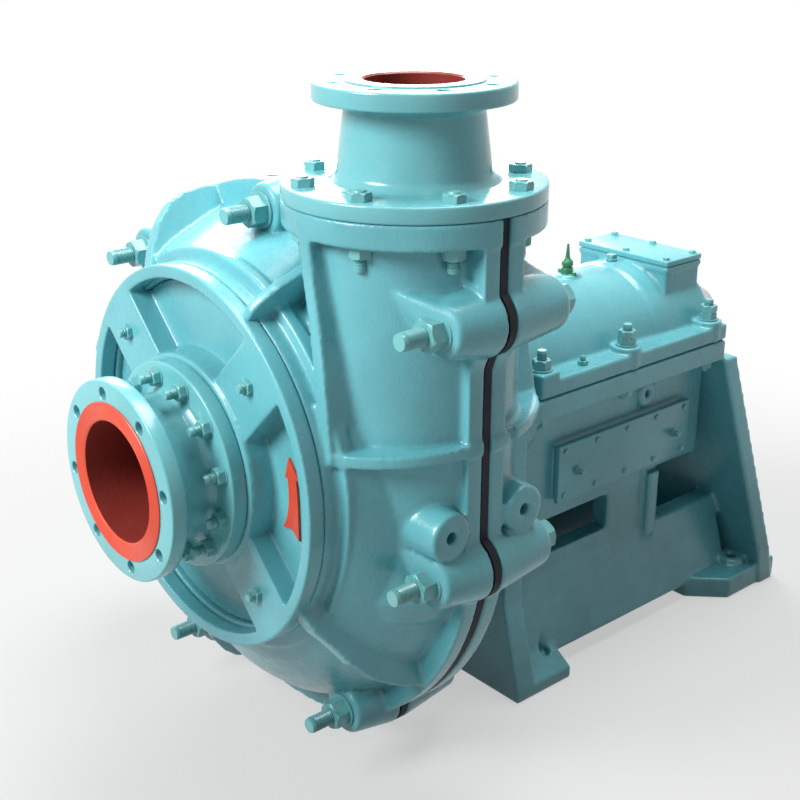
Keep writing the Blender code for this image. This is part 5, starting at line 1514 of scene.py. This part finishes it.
    def lip_ring(self) -> Solid:
        """Rubber lip of both liners, which shows in the parting line.

        Returns:
            The lip with its discs round the tie bolts.
        """
        rim = prism("lip", self.outline(self.lip_inset), -self.lip_half, self.lip_half)
        radius, half = self.lug_root_r - self.lip_disc_inset, self.lip_disc_half
        join(rim, [cylinder("disc", radius, -half, half, MEDIUM, Axis.Y, place) for place in self.ties()])
        inner = prism("inner", self.outline(self.lip_w), -self.lip_groove_half, self.lip_groove_half)
        return cut(rim, [inner, self.passage(MEDIUM)])

    def bolts(self) -> Solid:
        """Tie bolts with washers, chamfered nuts and threaded ends.

        Returns:
            All ends of the tie bolts.
        """
        front = self.tie_front.at([(x, self.lug_front, z) for x, z in self.ties()], TO_SUCTION)
        rear = self.tie_rear.at([(x, self.lug_rear, z) for x, z in self.ties()], TO_DRIVE)
        return blended([front, rear], "ties")

    def build(self) -> None:
        """Build and dress both halves, the lip between them and the tie bolts."""
        settle(self.half(-1), "front_casing_cast", TEAL, stands_for=["front_casing"], smooth_all=True)
        settle(self.half(1), "rear_casing_cast", TEAL, stands_for=["rear_casing"], smooth_all=True)
        settle(self.lip_ring(), "liner_lips", RUBBER)
        settle(self.bolts(), "tie_bolts", TEAL_DARK, stands_for=numbered("tie_bolt", len(self.ties())))


# Suction side

@dataclass(frozen=True)
class HoleRing:
    """Bolt holes of a pipe flange, chamfered at its face."""

    ring_r: float
    phase: float
    count: int = 8
    radius: float = 0.011
    flare: float = 0.013
    chamfer: float = 0.0015
    lift: float = 0.0005
    sink: float = 0.001

    def cuts(self, face: float, back: float, axis: Axis, centre: Point = (0.0, 0.0)) -> list[Solid]:
        """Draw the holes as solids to cut away.

        Args:
            face: Height of the flange's face.
            back: Height of its back.
            axis: Axis of the pipe.
            centre: Place of that axis in its plane.

        Returns:
            One solid for each hole.
        """
        out = math.copysign(1, face - back)
        bevel = [(0.0, face + out * OVERRUN), (self.radius + self.flare, face + out * OVERRUN),
                 (self.radius + self.chamfer, face + out * self.lift), (self.radius, face - out * self.sink),
                 (self.radius, back - out * OVERRUN), (0.0, back - out * OVERRUN)]
        places = ring(self.ring_r, self.count, centre, self.phase)
        return [turned("hole", bevel, SMALL, axis, place) for place in places]


@dataclass(frozen=True)
class SuctionSide:
    """Cover with its four arms, the short pipe, its studs and the cast rotation arrow."""

    cover_r: float = 0.330
    rim_t: float = 0.030
    front_y: float = -0.265
    spigot_r: float = 0.302
    spigot_t: float = 0.040
    hub_r: float = 0.184
    hub_h: float = 0.007
    hub_edge: float = 0.002
    hub_steps: int = 6
    rim_w: float = 0.022
    arm_w: float = 0.116
    arm_angles: tuple[float, ...] = (45.0, 135.0, 225.0, 315.0)
    pocket_d: float = 0.040
    jack_ring: float = 0.256
    jack: NutStack = NutStack(0.014, 0.009, 0.008, 0.011, twist=0.7)
    sand: SandCast = SandCast(0.0030, 4, 0.45)
    face_y: float = -0.409
    bore_r: float = 0.103
    bore_end: float = -0.195
    bore_lining: float = 0.004
    flange_r: float = 0.170
    flange_t: float = 0.028
    raised_r: float = 0.134
    raised_h: float = 0.003
    raised_lap: float = 0.004
    holes: HoleRing = HoleRing(0.1475, math.radians(9.2))
    pipe_r: float = 0.126
    pipe_edge: float = 0.0035
    neck_r: float = 0.138
    # Growth over the pipe and distance from the flange
    taper: tuple[Point, ...] = ((0.002, 0.020), (0.0, 0.034))
    clamp_fillet: Point = (0.010, 0.012)
    clamp_r: float = 0.177
    clamp_t: float = 0.028
    spigot_in_r: float = 0.116
    spigot_gap: float = 0.0005
    clamp_ring: float = 0.152
    clamp_count: int = 12
    clamp_phase: float = math.radians(12.0)
    clamp: NutStack = NutStack(0.0152, 0.013, 0.0085, 0.020, 0.002, twist=0.9)
    grooves: int = 11
    groove_margin: float = 0.003
    groove: Point = (0.0009, 0.0005)
    face_inner: float = 0.002
    face_outer: float = 0.001
    face_overlap: float = 0.0005
    paint_t: float = 0.0045
    paint_gap: float = 0.001
    arrow_ring: float = 0.240
    arrow_half: float = 0.0115
    arrow_flare: float = 0.9
    arrow_head: float = 0.0185
    # Degrees of the tail, the neck and the tip, and of the notch in the tail
    arrow_turns: Spot = (-15.5, 8.0, 16.5)
    arrow_notch: float = 2.5
    arrow_sink: float = 0.005
    arrow_rise: float = 0.001
    arrow_edge: float = 0.0012

    def pocket(self, degrees: float) -> Solid:
        """Draw the sector between two arms.

        Args:
            degrees: Angle of the sector's middle.

        Returns:
            The solid to cut away.
        """
        offset = self.arm_w / math.sqrt(2)
        rim, hub = self.cover_r - self.rim_w, self.hub_r + self.hub_edge

        def edge_angle(radius: float) -> float:
            """Half the angle that the pocket spans at a radius."""
            spread = -offset / 2 + math.sqrt(radius ** 2 / 2 - offset ** 2 / 4)
            return math.atan2(spread, offset + spread)

        inner, outer, middle = edge_angle(hub), edge_angle(rim), math.radians(degrees)
        points = [on_ring(rim, middle - outer + 2 * outer * i / SMALL) for i in range(SMALL + 1)]
        steps = self.hub_steps
        points += [on_ring(hub, middle + inner - 2 * inner * i / steps) for i in range(steps + 1)]
        return prism("pocket", points, self.front_y - OVERRUN, self.front_y + self.pocket_d)

    def cover(self) -> Solid:
        """Turn the cover and cut the pockets between its four flat arms.

        Returns:
            The cover as one casting.
        """
        back = self.front_y + self.rim_t
        end = back + self.spigot_t
        bore = self.spigot_in_r + self.spigot_gap
        profile = [(bore, self.front_y - self.hub_h), (self.hub_r, self.front_y - self.hub_h),
                   (self.hub_r, self.front_y), (self.cover_r, self.front_y), (self.cover_r, back),
                   (self.spigot_r, back), (self.spigot_r, end), (bore, end)]
        disc = turned("cover", profile, FINE * 2)
        return self.sand.soften(cut(disc, [self.pocket(angle + 45) for angle in self.arm_angles]))

    def jacks(self) -> Solid:
        """Jack bolts, one on each arm."""
        places = [polar(self.jack_ring, angle) for angle in self.arm_angles]
        return self.jack.at([(x, self.front_y, z) for x, z in places], TO_SUCTION)

    def arrow(self) -> Solid:
        """Draw the curved arrow with a flared tail, cast on the floor of the pocket at the right.

        Returns:
            The arrow.
        """
        start, neck, tip = (math.radians(turn) for turn in self.arrow_turns)
        outer, inner = [], []
        for i in range(SMALL + 1):
            share = i / SMALL
            angle = start + (neck - start) * share
            half = self.arrow_half * (1.0 + self.arrow_flare * (1.0 - share) ** 3)
            outer.append(on_ring(self.arrow_ring + half, angle))
            inner.append(on_ring(self.arrow_ring - half, angle))
        notch = on_ring(self.arrow_ring, start + math.radians(self.arrow_notch))
        wings = [on_ring(self.arrow_ring + self.arrow_head, neck), on_ring(self.arrow_ring, tip),
                 on_ring(self.arrow_ring - self.arrow_head, neck)]
        floor = self.front_y + self.pocket_d
        item = prism("arrow", outer + wings + inner[::-1] + [notch], floor - self.arrow_sink,
                     floor + self.arrow_rise)
        return eased(item, self.arrow_edge)

    def pipe(self) -> Solid:
        """Turn the suction pipe with its flange and the clamp flange.

        Returns:
            The pipe with its bolt holes.
        """
        seat = self.front_y - self.hub_h - SEAT_GAP
        face = self.face_y + self.raised_h
        back, clamp = face + self.flange_t, seat - self.clamp_t
        profile = [(self.raised_r - self.raised_lap, face), (self.flange_r, face), (self.flange_r, back),
                   (self.neck_r, back), *((self.pipe_r + over, back + run) for over, run in self.taper),
                   (self.pipe_r, clamp - self.clamp_fillet[1]), (self.pipe_r + self.clamp_fillet[0], clamp),
                   (self.clamp_r, clamp), (self.clamp_r, seat), (self.spigot_in_r, seat),
                   (self.spigot_in_r, self.bore_end), (self.bore_r + self.bore_lining, self.bore_end),
                   (self.bore_r + self.bore_lining, face)]
        pipe = turned("pipe", rounded(profile, self.pipe_edge), FINE)
        return cut(pipe, self.holes.cuts(face, back, Axis.Y))

    def red_face(self) -> Solid:
        """Turn the primed raised face with its gramophone grooves.

        Returns:
            The face.
        """
        profile: list[Point] = [(self.bore_r, self.face_y + self.face_inner)]
        width, depth = self.groove
        for i in range(self.grooves + 1):
            radius = (self.bore_r + self.groove_margin
                      + (self.raised_r - self.bore_r - 2 * self.groove_margin) * i / self.grooves)
            profile += [(radius, self.face_y), (radius + width, self.face_y + depth)]
        back = self.face_y + self.raised_h + self.face_overlap
        profile += [(self.raised_r - self.face_outer, self.face_y),
                    (self.raised_r, self.face_y + self.face_outer), (self.raised_r, back),
                    (self.bore_r, back)]
        return turned("red_face", profile, FINE)

    def red_bore(self) -> Solid:
        """Turn the primed bore behind the face.

        Returns:
            The bore's paint as a thin tube.
        """
        front, over = self.face_y + self.raised_h + self.paint_gap, self.bore_r + self.paint_t
        profile = [(self.bore_r, front), (over, front), (over, self.bore_end), (self.bore_r, self.bore_end)]
        return turned("red_bore", profile, FINE)

    def studs(self) -> Solid:
        """Studs of the clamp flange."""
        seat = self.front_y - self.hub_h - self.clamp_t
        places = ring(self.clamp_ring, self.clamp_count, phase=self.clamp_phase)
        return self.clamp.at([(x, seat, z) for x, z in places], TO_SUCTION)

    def build(self) -> None:
        """Build and dress the suction side."""
        jacks = self.jacks()
        settle(self.cover(), "suction_cover_cast", TEAL, stands_for=["suction_cover"], smooth_all=True)
        settle(jacks, "jack_bolts", TEAL_DARK)
        settle(self.arrow(), "rotation_arrow", RED)
        settle(self.pipe(), "suction_pipe_turned", TEAL_SMOOTH, stands_for=["suction_pipe"])
        settle(self.red_face(), "suction_face", RED)
        # The bore's primer is drawn as a darker copy, as painted shade
        settle(self.red_bore(), "suction_bore_paint", RED_BORE_SHADE)
        settle(self.studs(), "clamp_studs", TEAL_DARK)


# Discharge side

@dataclass(frozen=True)
class DischargeSide:
    """Cone between the neck and the pipeline, with its two flanges and bolts."""

    x: float = 0.264
    base: float = 0.4548
    top: float = 0.632
    bore_r: float = 0.076
    bore_lining: float = 0.004
    base_bore_r: float = 0.090
    base_lining: float = 0.003
    flange_r: float = 0.155
    flange_t: float = 0.028
    raised_r: float = 0.108
    raised_h: float = 0.003
    holes: HoleRing = HoleRing(0.127, math.radians(22.5))
    cone_top_r: float = 0.108
    cone_base_r: float = 0.120
    fillet: float = 0.012
    top_fillet: float = 0.014
    edge: float = 0.004
    base_r: float = 0.206
    base_t: float = 0.026
    neck_flange_t: float = 0.040
    mouth: Point = (0.0035, 0.003)
    paint_t: float = 0.0045
    base_paint_t: float = 0.0035
    paint_gap: float = 0.001
    bolt_ring: float = 0.176
    bolt_count: int = 8
    head: NutStack = NutStack(0.0185, 0.013, 0.010, 0.002, twist=0.8)
    tail: NutStack = NutStack(0.0185, 0.016, 0.010, 0.020, 0.002, twist=0.8)

    def pipe(self) -> Solid:
        """Turn the cone with both flanges and their fillets.

        Returns:
            The pipe with its bolt holes.
        """
        face = self.top - self.raised_h
        under, shelf = face - self.flange_t, self.base + self.base_t
        profile = [(self.base_bore_r + self.base_lining, self.base), (self.base_r, self.base),
                   (self.base_r, shelf), (self.cone_base_r + self.fillet, shelf),
                   (self.cone_base_r, shelf + self.fillet), (self.cone_top_r, under - self.top_fillet),
                   (self.cone_top_r + self.fillet, under), (self.flange_r, under), (self.flange_r, face),
                   (self.raised_r, face), (self.raised_r, self.top),
                   (self.bore_r + self.bore_lining, self.top)]
        pipe = turned("discharge", rounded(profile, self.edge), FINE, Axis.Z, (self.x, 0.0))
        return cut(pipe, self.holes.cuts(face, under, Axis.Z, (self.x, 0.0)))

    def red_bore(self) -> Solid:
        """Turn the primed bore with the chamfer at its mouth.

        Returns:
            The bore's paint as a thin cone.
        """
        rim, foot = self.top - SEAT_GAP, self.base + self.paint_gap
        profile = [(self.bore_r, self.top - self.mouth[1]), (self.bore_r + self.mouth[0], rim),
                   (self.bore_r + self.paint_t, rim), (self.base_bore_r + self.base_paint_t, foot),
                   (self.base_bore_r, foot)]
        return turned("red_bore", profile, FINE, Axis.Z, (self.x, 0.0))

    def bolts(self) -> Solid:
        """Bolts through the base flange and the neck's flange.

        Returns:
            Heads and tails as one mesh.
        """
        spots = ring(self.bolt_ring, self.bolt_count, (self.x, 0.0), self.holes.phase)
        shelf, under = self.base + self.base_t, self.base - SEAT_GAP - self.neck_flange_t
        heads = self.head.at([(x, y, shelf) for x, y in spots], UP)
        tails = self.tail.at([(x, y, under) for x, y in spots], DOWN)
        return blended([heads, tails], "bolts")

    def build(self) -> None:
        """Build and dress the discharge side."""
        settle(self.pipe(), "discharge_pipe_turned", TEAL_SMOOTH, stands_for=["discharge_pipe"])
        # The bore's primer is drawn as a darker copy, as painted shade
        settle(self.red_bore(), "discharge_bore", RED_BORE_SHADE)
        settle(self.bolts(), "discharge_bolts", TEAL_DARK,
               stands_for=numbered("discharge_bolt", self.bolt_count))


# Bearing housing and frame

@dataclass(frozen=True)
class BearingHousing:
    """Upper housing with its box and fittings, the studs of the split, the end caps and the side plate."""

    barrel_r: float = 0.152
    band_r: float = 0.158
    front: float = 0.362
    rear: float = 0.950
    cavity_r: float = 0.130
    # Heights at which the bore widens to the cavity and narrows again
    cavity_y: tuple[float, ...] = (0.425, 0.435, 0.800, 0.810)
    seat_r: float = 0.1003
    bands: tuple[Point, ...] = ((0.362, 0.440), (0.772, 0.950))
    band_edge: Point = (0.004, 0.008)
    split_half: float = 0.200
    split_front: float = 0.378
    flange_t: float = 0.034
    lower_t: float = 0.046
    corner: Spot = (0.060, 0.050, 0.050)
    boss_r: float = 0.030
    boss_h: float = 0.046
    bolt_x: float = 0.172
    bolt_ys: tuple[float, ...] = (0.403, 0.650, 0.915)
    jack_y: float = 0.520
    front_nut: NutStack = NutStack(0.0185, 0.019, 0.010, 0.018, 0.003)
    double_nut: NutStack = NutStack(0.0185, 0.0145, 0.010, 0.012, 0.003, 2)
    lower_nut: NutStack = NutStack(0.0185, 0.016, 0.010, 0.006)
    jack: NutStack = NutStack(0.0105, 0.009, 0.006, 0.009)
    sand: SandCast = SandCast(0.0034, 4, 0.35)
    box_half: float = 0.120
    box_front: float = 0.830
    box_rear: float = 0.940
    box_top: float = 0.163
    box_wall: float = 0.014
    box_rim: float = 0.012
    well_d: float = 0.030
    lid_t: float = 0.012
    lid_edge: float = 0.0025
    overhang: float = 0.003
    lid_screw: Screw = Screw(0.0075, 0.006, twist=0.9)
    lid_screw_in: Point = (0.012, 0.010)
    pad_root: float = 0.08
    # Radius of each pad, and its rise over the barrel or the band
    breather_pad: Point = (0.026, 0.006)
    plug_pad: Point = (0.016, 0.002)
    breather_y: float = 0.655
    breather_seat: float = 0.0063
    breather_foot: Point = (0.0135, 0.012)
    breather_form: tuple[Point, ...] = ((0.0, 0.008), (0.0095, 0.008), (0.0095, 0.015), (0.0118, 0.016),
                                        (0.0118, 0.024), (0.0095, 0.027), (0.0055, 0.031), (0.0042, 0.038),
                                        (0.0022, 0.062), (0.0, 0.062))
    breather_edge: float = 0.0015
    breather_ear: Screw = Screw(0.0052, 0.005, twist=0.4)
    breather_ear_x: float = 0.019
    plug_y: float = 0.795
    plug_seat: float = 0.0023
    plug_half: float = 0.0085
    plug_z: Point = (0.004, 0.014)
    plug_edge: float = 0.0012
    plug_collar: Point = (0.0125, 0.005)
    plug_collar_edge: float = 0.001
    cap_r: float = 0.140
    cap_t: float = 0.020
    cap_lip: float = 0.0475
    cap_sink: float = 0.006
    # Radius and depth below the cap's highest face
    cap_steps: tuple[Point, ...] = ((0.104, 0.006), (0.098, 0.002), (0.078, 0.002), (0.074, 0.0))
    cap_edge: float = 0.002
    cap_screw: Screw = Screw(0.0115, 0.008)
    cap_screw_ring: float = 0.122
    cap_screws: int = 6
    plate_x: float = 0.1583
    plate_t: float = 0.012
    plate_y: Point = (0.468, 0.880)
    plate_z: Point = (-0.252, -0.128)
    plate_edge: float = 0.002
    plate_screw: Screw = Screw(0.0060, 0.0035, twist=0.9)
    plate_screw_in: Point = (0.018, 0.014)
    plate_columns: int = 5
    plate_step: float = 0.094
    knob: NutStack = NutStack(0.0095, 0.008, 0.006, 0.009, 0.0015, twist=0.5)
    knob_ys: Point = (0.522, 0.828)
    knob_z: float = -0.193

    def fittings(self) -> list[Solid]:
        """Everything that stands on the barrel: bands, flange, box, pads, corner blocks and bosses.

        Returns:
            The overlapping solids.
        """
        low, over = SEAT_GAP, self.overhang
        forms = [turned("band", [(0.0, start), (self.band_r - self.band_edge[0], start),
                                 (self.band_r, start + self.band_edge[1]), (self.band_r, stop), (0.0, stop)],
                        FINE * 2) for start, stop in self.bands]
        forms.append(block("flange", (-self.split_half, self.split_front, low),
                           (self.split_half, self.rear, self.flange_t)))
        forms.append(block("box", (-self.box_half, self.box_front, low),
                           (self.box_half, self.box_rear, self.box_top)))
        forms.append(block("box_rim",
                           (-self.box_half - over, self.box_front - over, self.box_top - self.box_rim),
                           (self.box_half + over, self.box_rear + over, self.box_top)))
        forms.append(cylinder("breather_pad", self.breather_pad[0], self.pad_root,
                              self.barrel_r + self.breather_pad[1], MEDIUM, Axis.Z, (0.0, self.breather_y)))
        forms.append(cylinder("plug_pad", self.plug_pad[0], self.pad_root, self.band_r + self.plug_pad[1],
                              MEDIUM, Axis.Z, (0.0, self.plug_y)))
        for side in (-1, 1):
            near, far = sorted((side * self.split_half, side * (self.split_half - self.corner[0])))
            forms.append(block("corner", (near, self.split_front, low),
                               (far, self.split_front + self.corner[1], self.corner[2])))
            forms += [cylinder("boss", self.boss_r, low, self.boss_h, MEDIUM, Axis.Z, (side * self.bolt_x, y))
                      for y in self.bolt_ys[1:]]
        return forms

    def cover(self) -> Solid:
        """Unite the barrel with what stands on it, then cut the bores, the well and the lower half.

        Returns:
            The cover as one casting.
        """
        barrel = join(cylinder("barrel", self.barrel_r, self.front, self.rear, FINE * 2), self.fittings())
        reach, start, end = self.split_half * 2, self.front - OVERRUN, self.rear + OVERRUN
        radii = (self.seat_r, self.cavity_r, self.cavity_r, self.seat_r)
        bores = [(0.0, start), (self.seat_r, start), *zip(radii, self.cavity_y), (self.seat_r, end),
                 (0.0, end)]
        wall = self.box_wall
        well = block("well", (-self.box_half + wall, self.box_front + wall, self.box_top - self.well_d),
                     (self.box_half - wall, self.box_rear - wall, self.box_top + OVERRUN))
        under = block("under", (-reach, start, -reach), (reach, end, SEAT_GAP))
        return self.sand.soften(cut(barrel, [under, turned("bores", bores, FINE), well]))

    def studs(self) -> Solid:
        """Place the nuts of the split, its lower nuts and the jack screws.

        Returns:
            All of them as one mesh.
        """
        xs = (-self.bolt_x, self.bolt_x)
        return blended([
            self.front_nut.at([(x, self.bolt_ys[0], self.corner[2]) for x in xs], UP),
            self.double_nut.at([(x, y, self.boss_h) for x in xs for y in self.bolt_ys[1:]], UP),
            self.lower_nut.at([(x, y, -self.lower_t) for x in xs for y in self.bolt_ys], DOWN),
            self.jack.at([(x, self.jack_y, self.flange_t) for x in xs], UP)], "studs")

    def lid(self) -> Solid:
        """Draw the lid of the inspection box, with broken edges.

        Returns:
            The lid.
        """
        base, over = self.box_top + SEAT_GAP, self.overhang
        low = (-self.box_half - over, self.box_front - over, base)
        high = (self.box_half + over, self.box_rear + over, base + self.lid_t)
        return eased(block("lid", low, high), self.lid_edge, 3)

    def lid_screws(self) -> Solid:
        """Place the screws in two rows of three along the lid.

        Returns:
            All of them as one mesh.
        """
        along, across = self.lid_screw_in
        top = self.box_top + self.lid_t
        xs = (-self.box_half + along, 0.0, self.box_half - along)
        ys = (self.box_front + across, self.box_rear - across)
        return self.lid_screw.at([(x, y, top) for x in xs for y in ys], UP)

    def breather(self) -> Solid:
        """Stack the breather: a hexagon foot, a cap and a tapering tip, held by two screws.

        Returns:
            The breather as one mesh.
        """
        base = self.barrel_r + self.breather_seat
        foot = nut(*self.breather_foot)
        foot.data.transform(Matrix.Translation((0.0, self.breather_y, base)))
        profile = [(r, base + h) for r, h in rounded(self.breather_form, self.breather_edge, 2)]
        body = turned("breather", profile, MEDIUM, Axis.Z, (0.0, self.breather_y))
        xs = (-self.breather_ear_x, self.breather_ear_x)
        ears = self.breather_ear.at([(x, self.breather_y, base - SEAT_GAP) for x in xs], UP)
        return blended([foot, body, ears], "breather")

    def plug(self) -> Solid:
        """Draw the square-headed filler plug on its collar.

        Returns:
            The plug as one mesh.
        """
        base, half = self.band_r + self.plug_seat, self.plug_half
        low, high = (base + z for z in self.plug_z)
        head = block("head", (-half, self.plug_y - half, low), (half, self.plug_y + half, high))
        radius, height = self.plug_collar
        profile = [(0.0, base), (radius, base), (radius, base + height), (0.0, base + height)]
        collar = turned("collar", rounded(profile, self.plug_collar_edge, 2), MEDIUM, Axis.Z,
                        (0.0, self.plug_y))
        return blended([eased(head, self.plug_edge), collar], "plug")

    def cap(self, face: float, out: int) -> Solid:
        """Turn a bearing cap with a raised lip round the shaft, and place its screws.

        Args:
            face: Height of the housing's end.
            out: Way out of the housing, -1 or 1 along the shaft.

        Returns:
            The cap and its screws as one mesh.
        """
        near, far = face + out * SEAT_GAP, face + out * (SEAT_GAP + self.cap_t)
        land = far - out * self.cap_sink
        profile = [(self.cap_lip, near), (self.cap_r, near), (self.cap_r, land),
                   *((radius, far - out * depth) for radius, depth in self.cap_steps), (self.cap_lip, far)]
        disc = turned("cap", rounded(profile, self.cap_edge), FINE)
        places = ring(self.cap_screw_ring, self.cap_screws, phase=math.pi / self.cap_screws)
        screws = self.cap_screw.at([(x, land, z) for x, z in places], (0.0, float(out), 0.0))
        return blended([disc, screws], "cap")

    def side_plate(self) -> Solid:
        """Cover plate on the flank of the sump, with broken edges."""
        low = (self.plate_x, self.plate_y[0], self.plate_z[0])
        high = (self.plate_x + self.plate_t, self.plate_y[1], self.plate_z[1])
        return eased(block("plate", low, high), self.plate_edge, 3)

    def plate_screws(self) -> Solid:
        """Place the screws along both long edges of the plate.

        Returns:
            All of them as one mesh.
        """
        along, across = self.plate_screw_in
        columns = [self.plate_y[0] + along + self.plate_step * i for i in range(self.plate_columns)]
        rows = (self.plate_z[0] + across, self.plate_z[1] - across)
        face = self.plate_x + self.plate_t
        return self.plate_screw.at([(face, y, z) for y in columns for z in rows], TO_FLANK)

    def plate_knobs(self) -> Solid:
        """Two jacking screws in the middle of the plate."""
        return self.knob.at([(self.plate_x + self.plate_t, y, self.knob_z) for y in self.knob_ys], TO_FLANK)

    def build(self) -> None:
        """Build and dress the housing."""
        settle(self.cover(), "bearing_cover_cast", TEAL, stands_for=["bearing_cover"], smooth_all=True)
        settle(self.studs(), "cover_studs", TEAL_DARK,
               stands_for=numbered("cover_bolt", 2 * len(self.bolt_ys)))
        settle(self.lid(), "inspection_lid_plate", TEAL, stands_for=["inspection_lid"])
        settle(self.lid_screws(), "lid_screws", TEAL_DARK)
        settle(self.breather(), "breather_fitting", GREEN, stands_for=["breather"])
        settle(self.plug(), "filler_plug_head", TEAL_DARK, stands_for=["filler_plug"])
        settle(self.cap(self.front, -1), "front_cap_turned", TEAL, stands_for=["front_end_cap"])
        settle(self.cap(self.rear, 1), "rear_cap_turned", TEAL, stands_for=["rear_end_cap"])
        settle(self.side_plate(), "side_plate_eased", TEAL, stands_for=["side_cover_plate"])
        settle(self.plate_screws(), "side_plate_screws", TEAL_DARK)
        settle(self.plate_knobs(), "side_plate_knobs", TEAL_DARK)


@dataclass(frozen=True)
class Frame:
    """The frame's casting, drawn over its CAD solid, with the bolts of the adapter."""

    adapter_front: float = 0.168
    adapter_flange: float = 0.022
    bolt_ring: float = 0.218
    bolt_count: int = 8
    bolt: Screw = Screw(0.0135, 0.010, twist=0.7)
    hole_x: float = 0.206
    web_top_y: float = 0.935
    web_lean: float = 0.140
    web_drop: float = 0.610
    fill_z: Point = (-0.538, -0.396)
    fill_half: float = 0.018
    fill_depth: float = 0.034
    fill_inset: float = 0.0004
    pad_r: float = 0.034
    pad_z: Point = (-0.6, -0.57)
    pad_at: Point = (0.196, 0.420)
    sand: SandCast = SandCast(0.0040, 8, 0.35)

    def web_fill(self, side: int) -> Solid:
        """Close the leaning rear web over the bolt hole of a foot.

        Args:
            side: -1 for the left foot, 1 for the right one.

        Returns:
            The solid that fills the web.
        """
        points = []
        for z in self.fill_z:
            front = self.web_top_y - self.web_lean * z / self.web_drop + self.fill_inset
            points += [(side * (self.hole_x + reach), front + deep, z)
                       for reach in (-self.fill_half, self.fill_half) for deep in (0.0, self.fill_depth)]
        return hull("web_fill", points)

    def casting(self) -> Solid:
        """Add pads and closed webs to the CAD solid and give it cast edges.

        Returns:
            The frame as one casting.
        """
        forms = []
        for side in (-1, 1):
            forms.append(cylinder("pad", self.pad_r, *self.pad_z, MEDIUM, Axis.Z,
                                  (side * self.pad_at[0], self.pad_at[1])))
            forms.append(self.web_fill(side))
        return self.sand.soften(join(from_cad("bearing_frame"), forms))

    def bolts(self) -> Solid:
        """Screws that hold the adapter to the rear casing."""
        face = self.adapter_front + self.adapter_flange
        places = ring(self.bolt_ring, self.bolt_count, phase=math.pi / self.bolt_count)
        return self.bolt.at([(x, face, z) for x, z in places], TO_DRIVE)

    def build(self) -> None:
        """Build and dress the frame."""
        settle(self.casting(), "bearing_frame_cast", TEAL, stands_for=["bearing_frame"], smooth_all=True)
        settle(self.bolts(), "adapter_bolts", TEAL_DARK)


# Pieces that keep their CAD solid

@dataclass(frozen=True)
class CarriedOver:
    """CAD nodes whose shape is right, with the finish of each."""

    finishes: Mapping[str, Finish]
    edge: float = 0.0008

    def dress(self) -> None:
        """Give each node its finish and break its edges."""
        for label, finish in self.finishes.items():
            node = frame["nodes"][label]
            node.data.materials.clear()
            node.data.materials.append(finish.material())
            step = node.modifiers.new("edge", "BEVEL")
            step.width = self.edge
            step.segments = 2
            step.limit_method = "ANGLE"
            LOG.info("%s keeps its solid", label)


def numbered(stem: str, count: int) -> list[str]:
    """List the nodes of a numbered set."""
    return [f"{stem}_{i + 1}" for i in range(count)]


def kept_nodes() -> dict[str, Finish]:
    """Pair the nodes that keep their solid with a finish.

    Returns:
        The finish of each node, by the node's name.
    """
    rubber = ["front_liner", "rear_liner", "throat_bush", "back_liner", "front_shaft_seal", "rear_shaft_seal"]
    steel = ["shaft", "shaft_key", "shaft_sleeve", "bearing_lock_nut", "gland_stud_1", "gland_stud_2"]
    steel += [f"{end}_{part}" for end in ("front", "rear")
              for part in ("bearing_outer_ring", "bearing_inner_ring", "roller_set")]
    table = dict.fromkeys(rubber, RUBBER) | dict.fromkeys(steel, STEEL)
    table |= dict.fromkeys(["lantern_ring", "packing_gland"], BRONZE)
    table |= dict.fromkeys(numbered("packing_ring", 3), PACKING)
    return table | {"impeller": IRON, "stuffing_box": TEAL}


def main() -> None:
    """Build the scene."""
    logging.basicConfig(level=logging.INFO, format="%(name)s: %(message)s")
    Studio().build()
    Casing().build()
    SuctionSide().build()
    DischargeSide().build()
    BearingHousing().build()
    Frame().build()
    CarriedOver(kept_nodes()).dress()


if __name__ == "__main__":
    main()
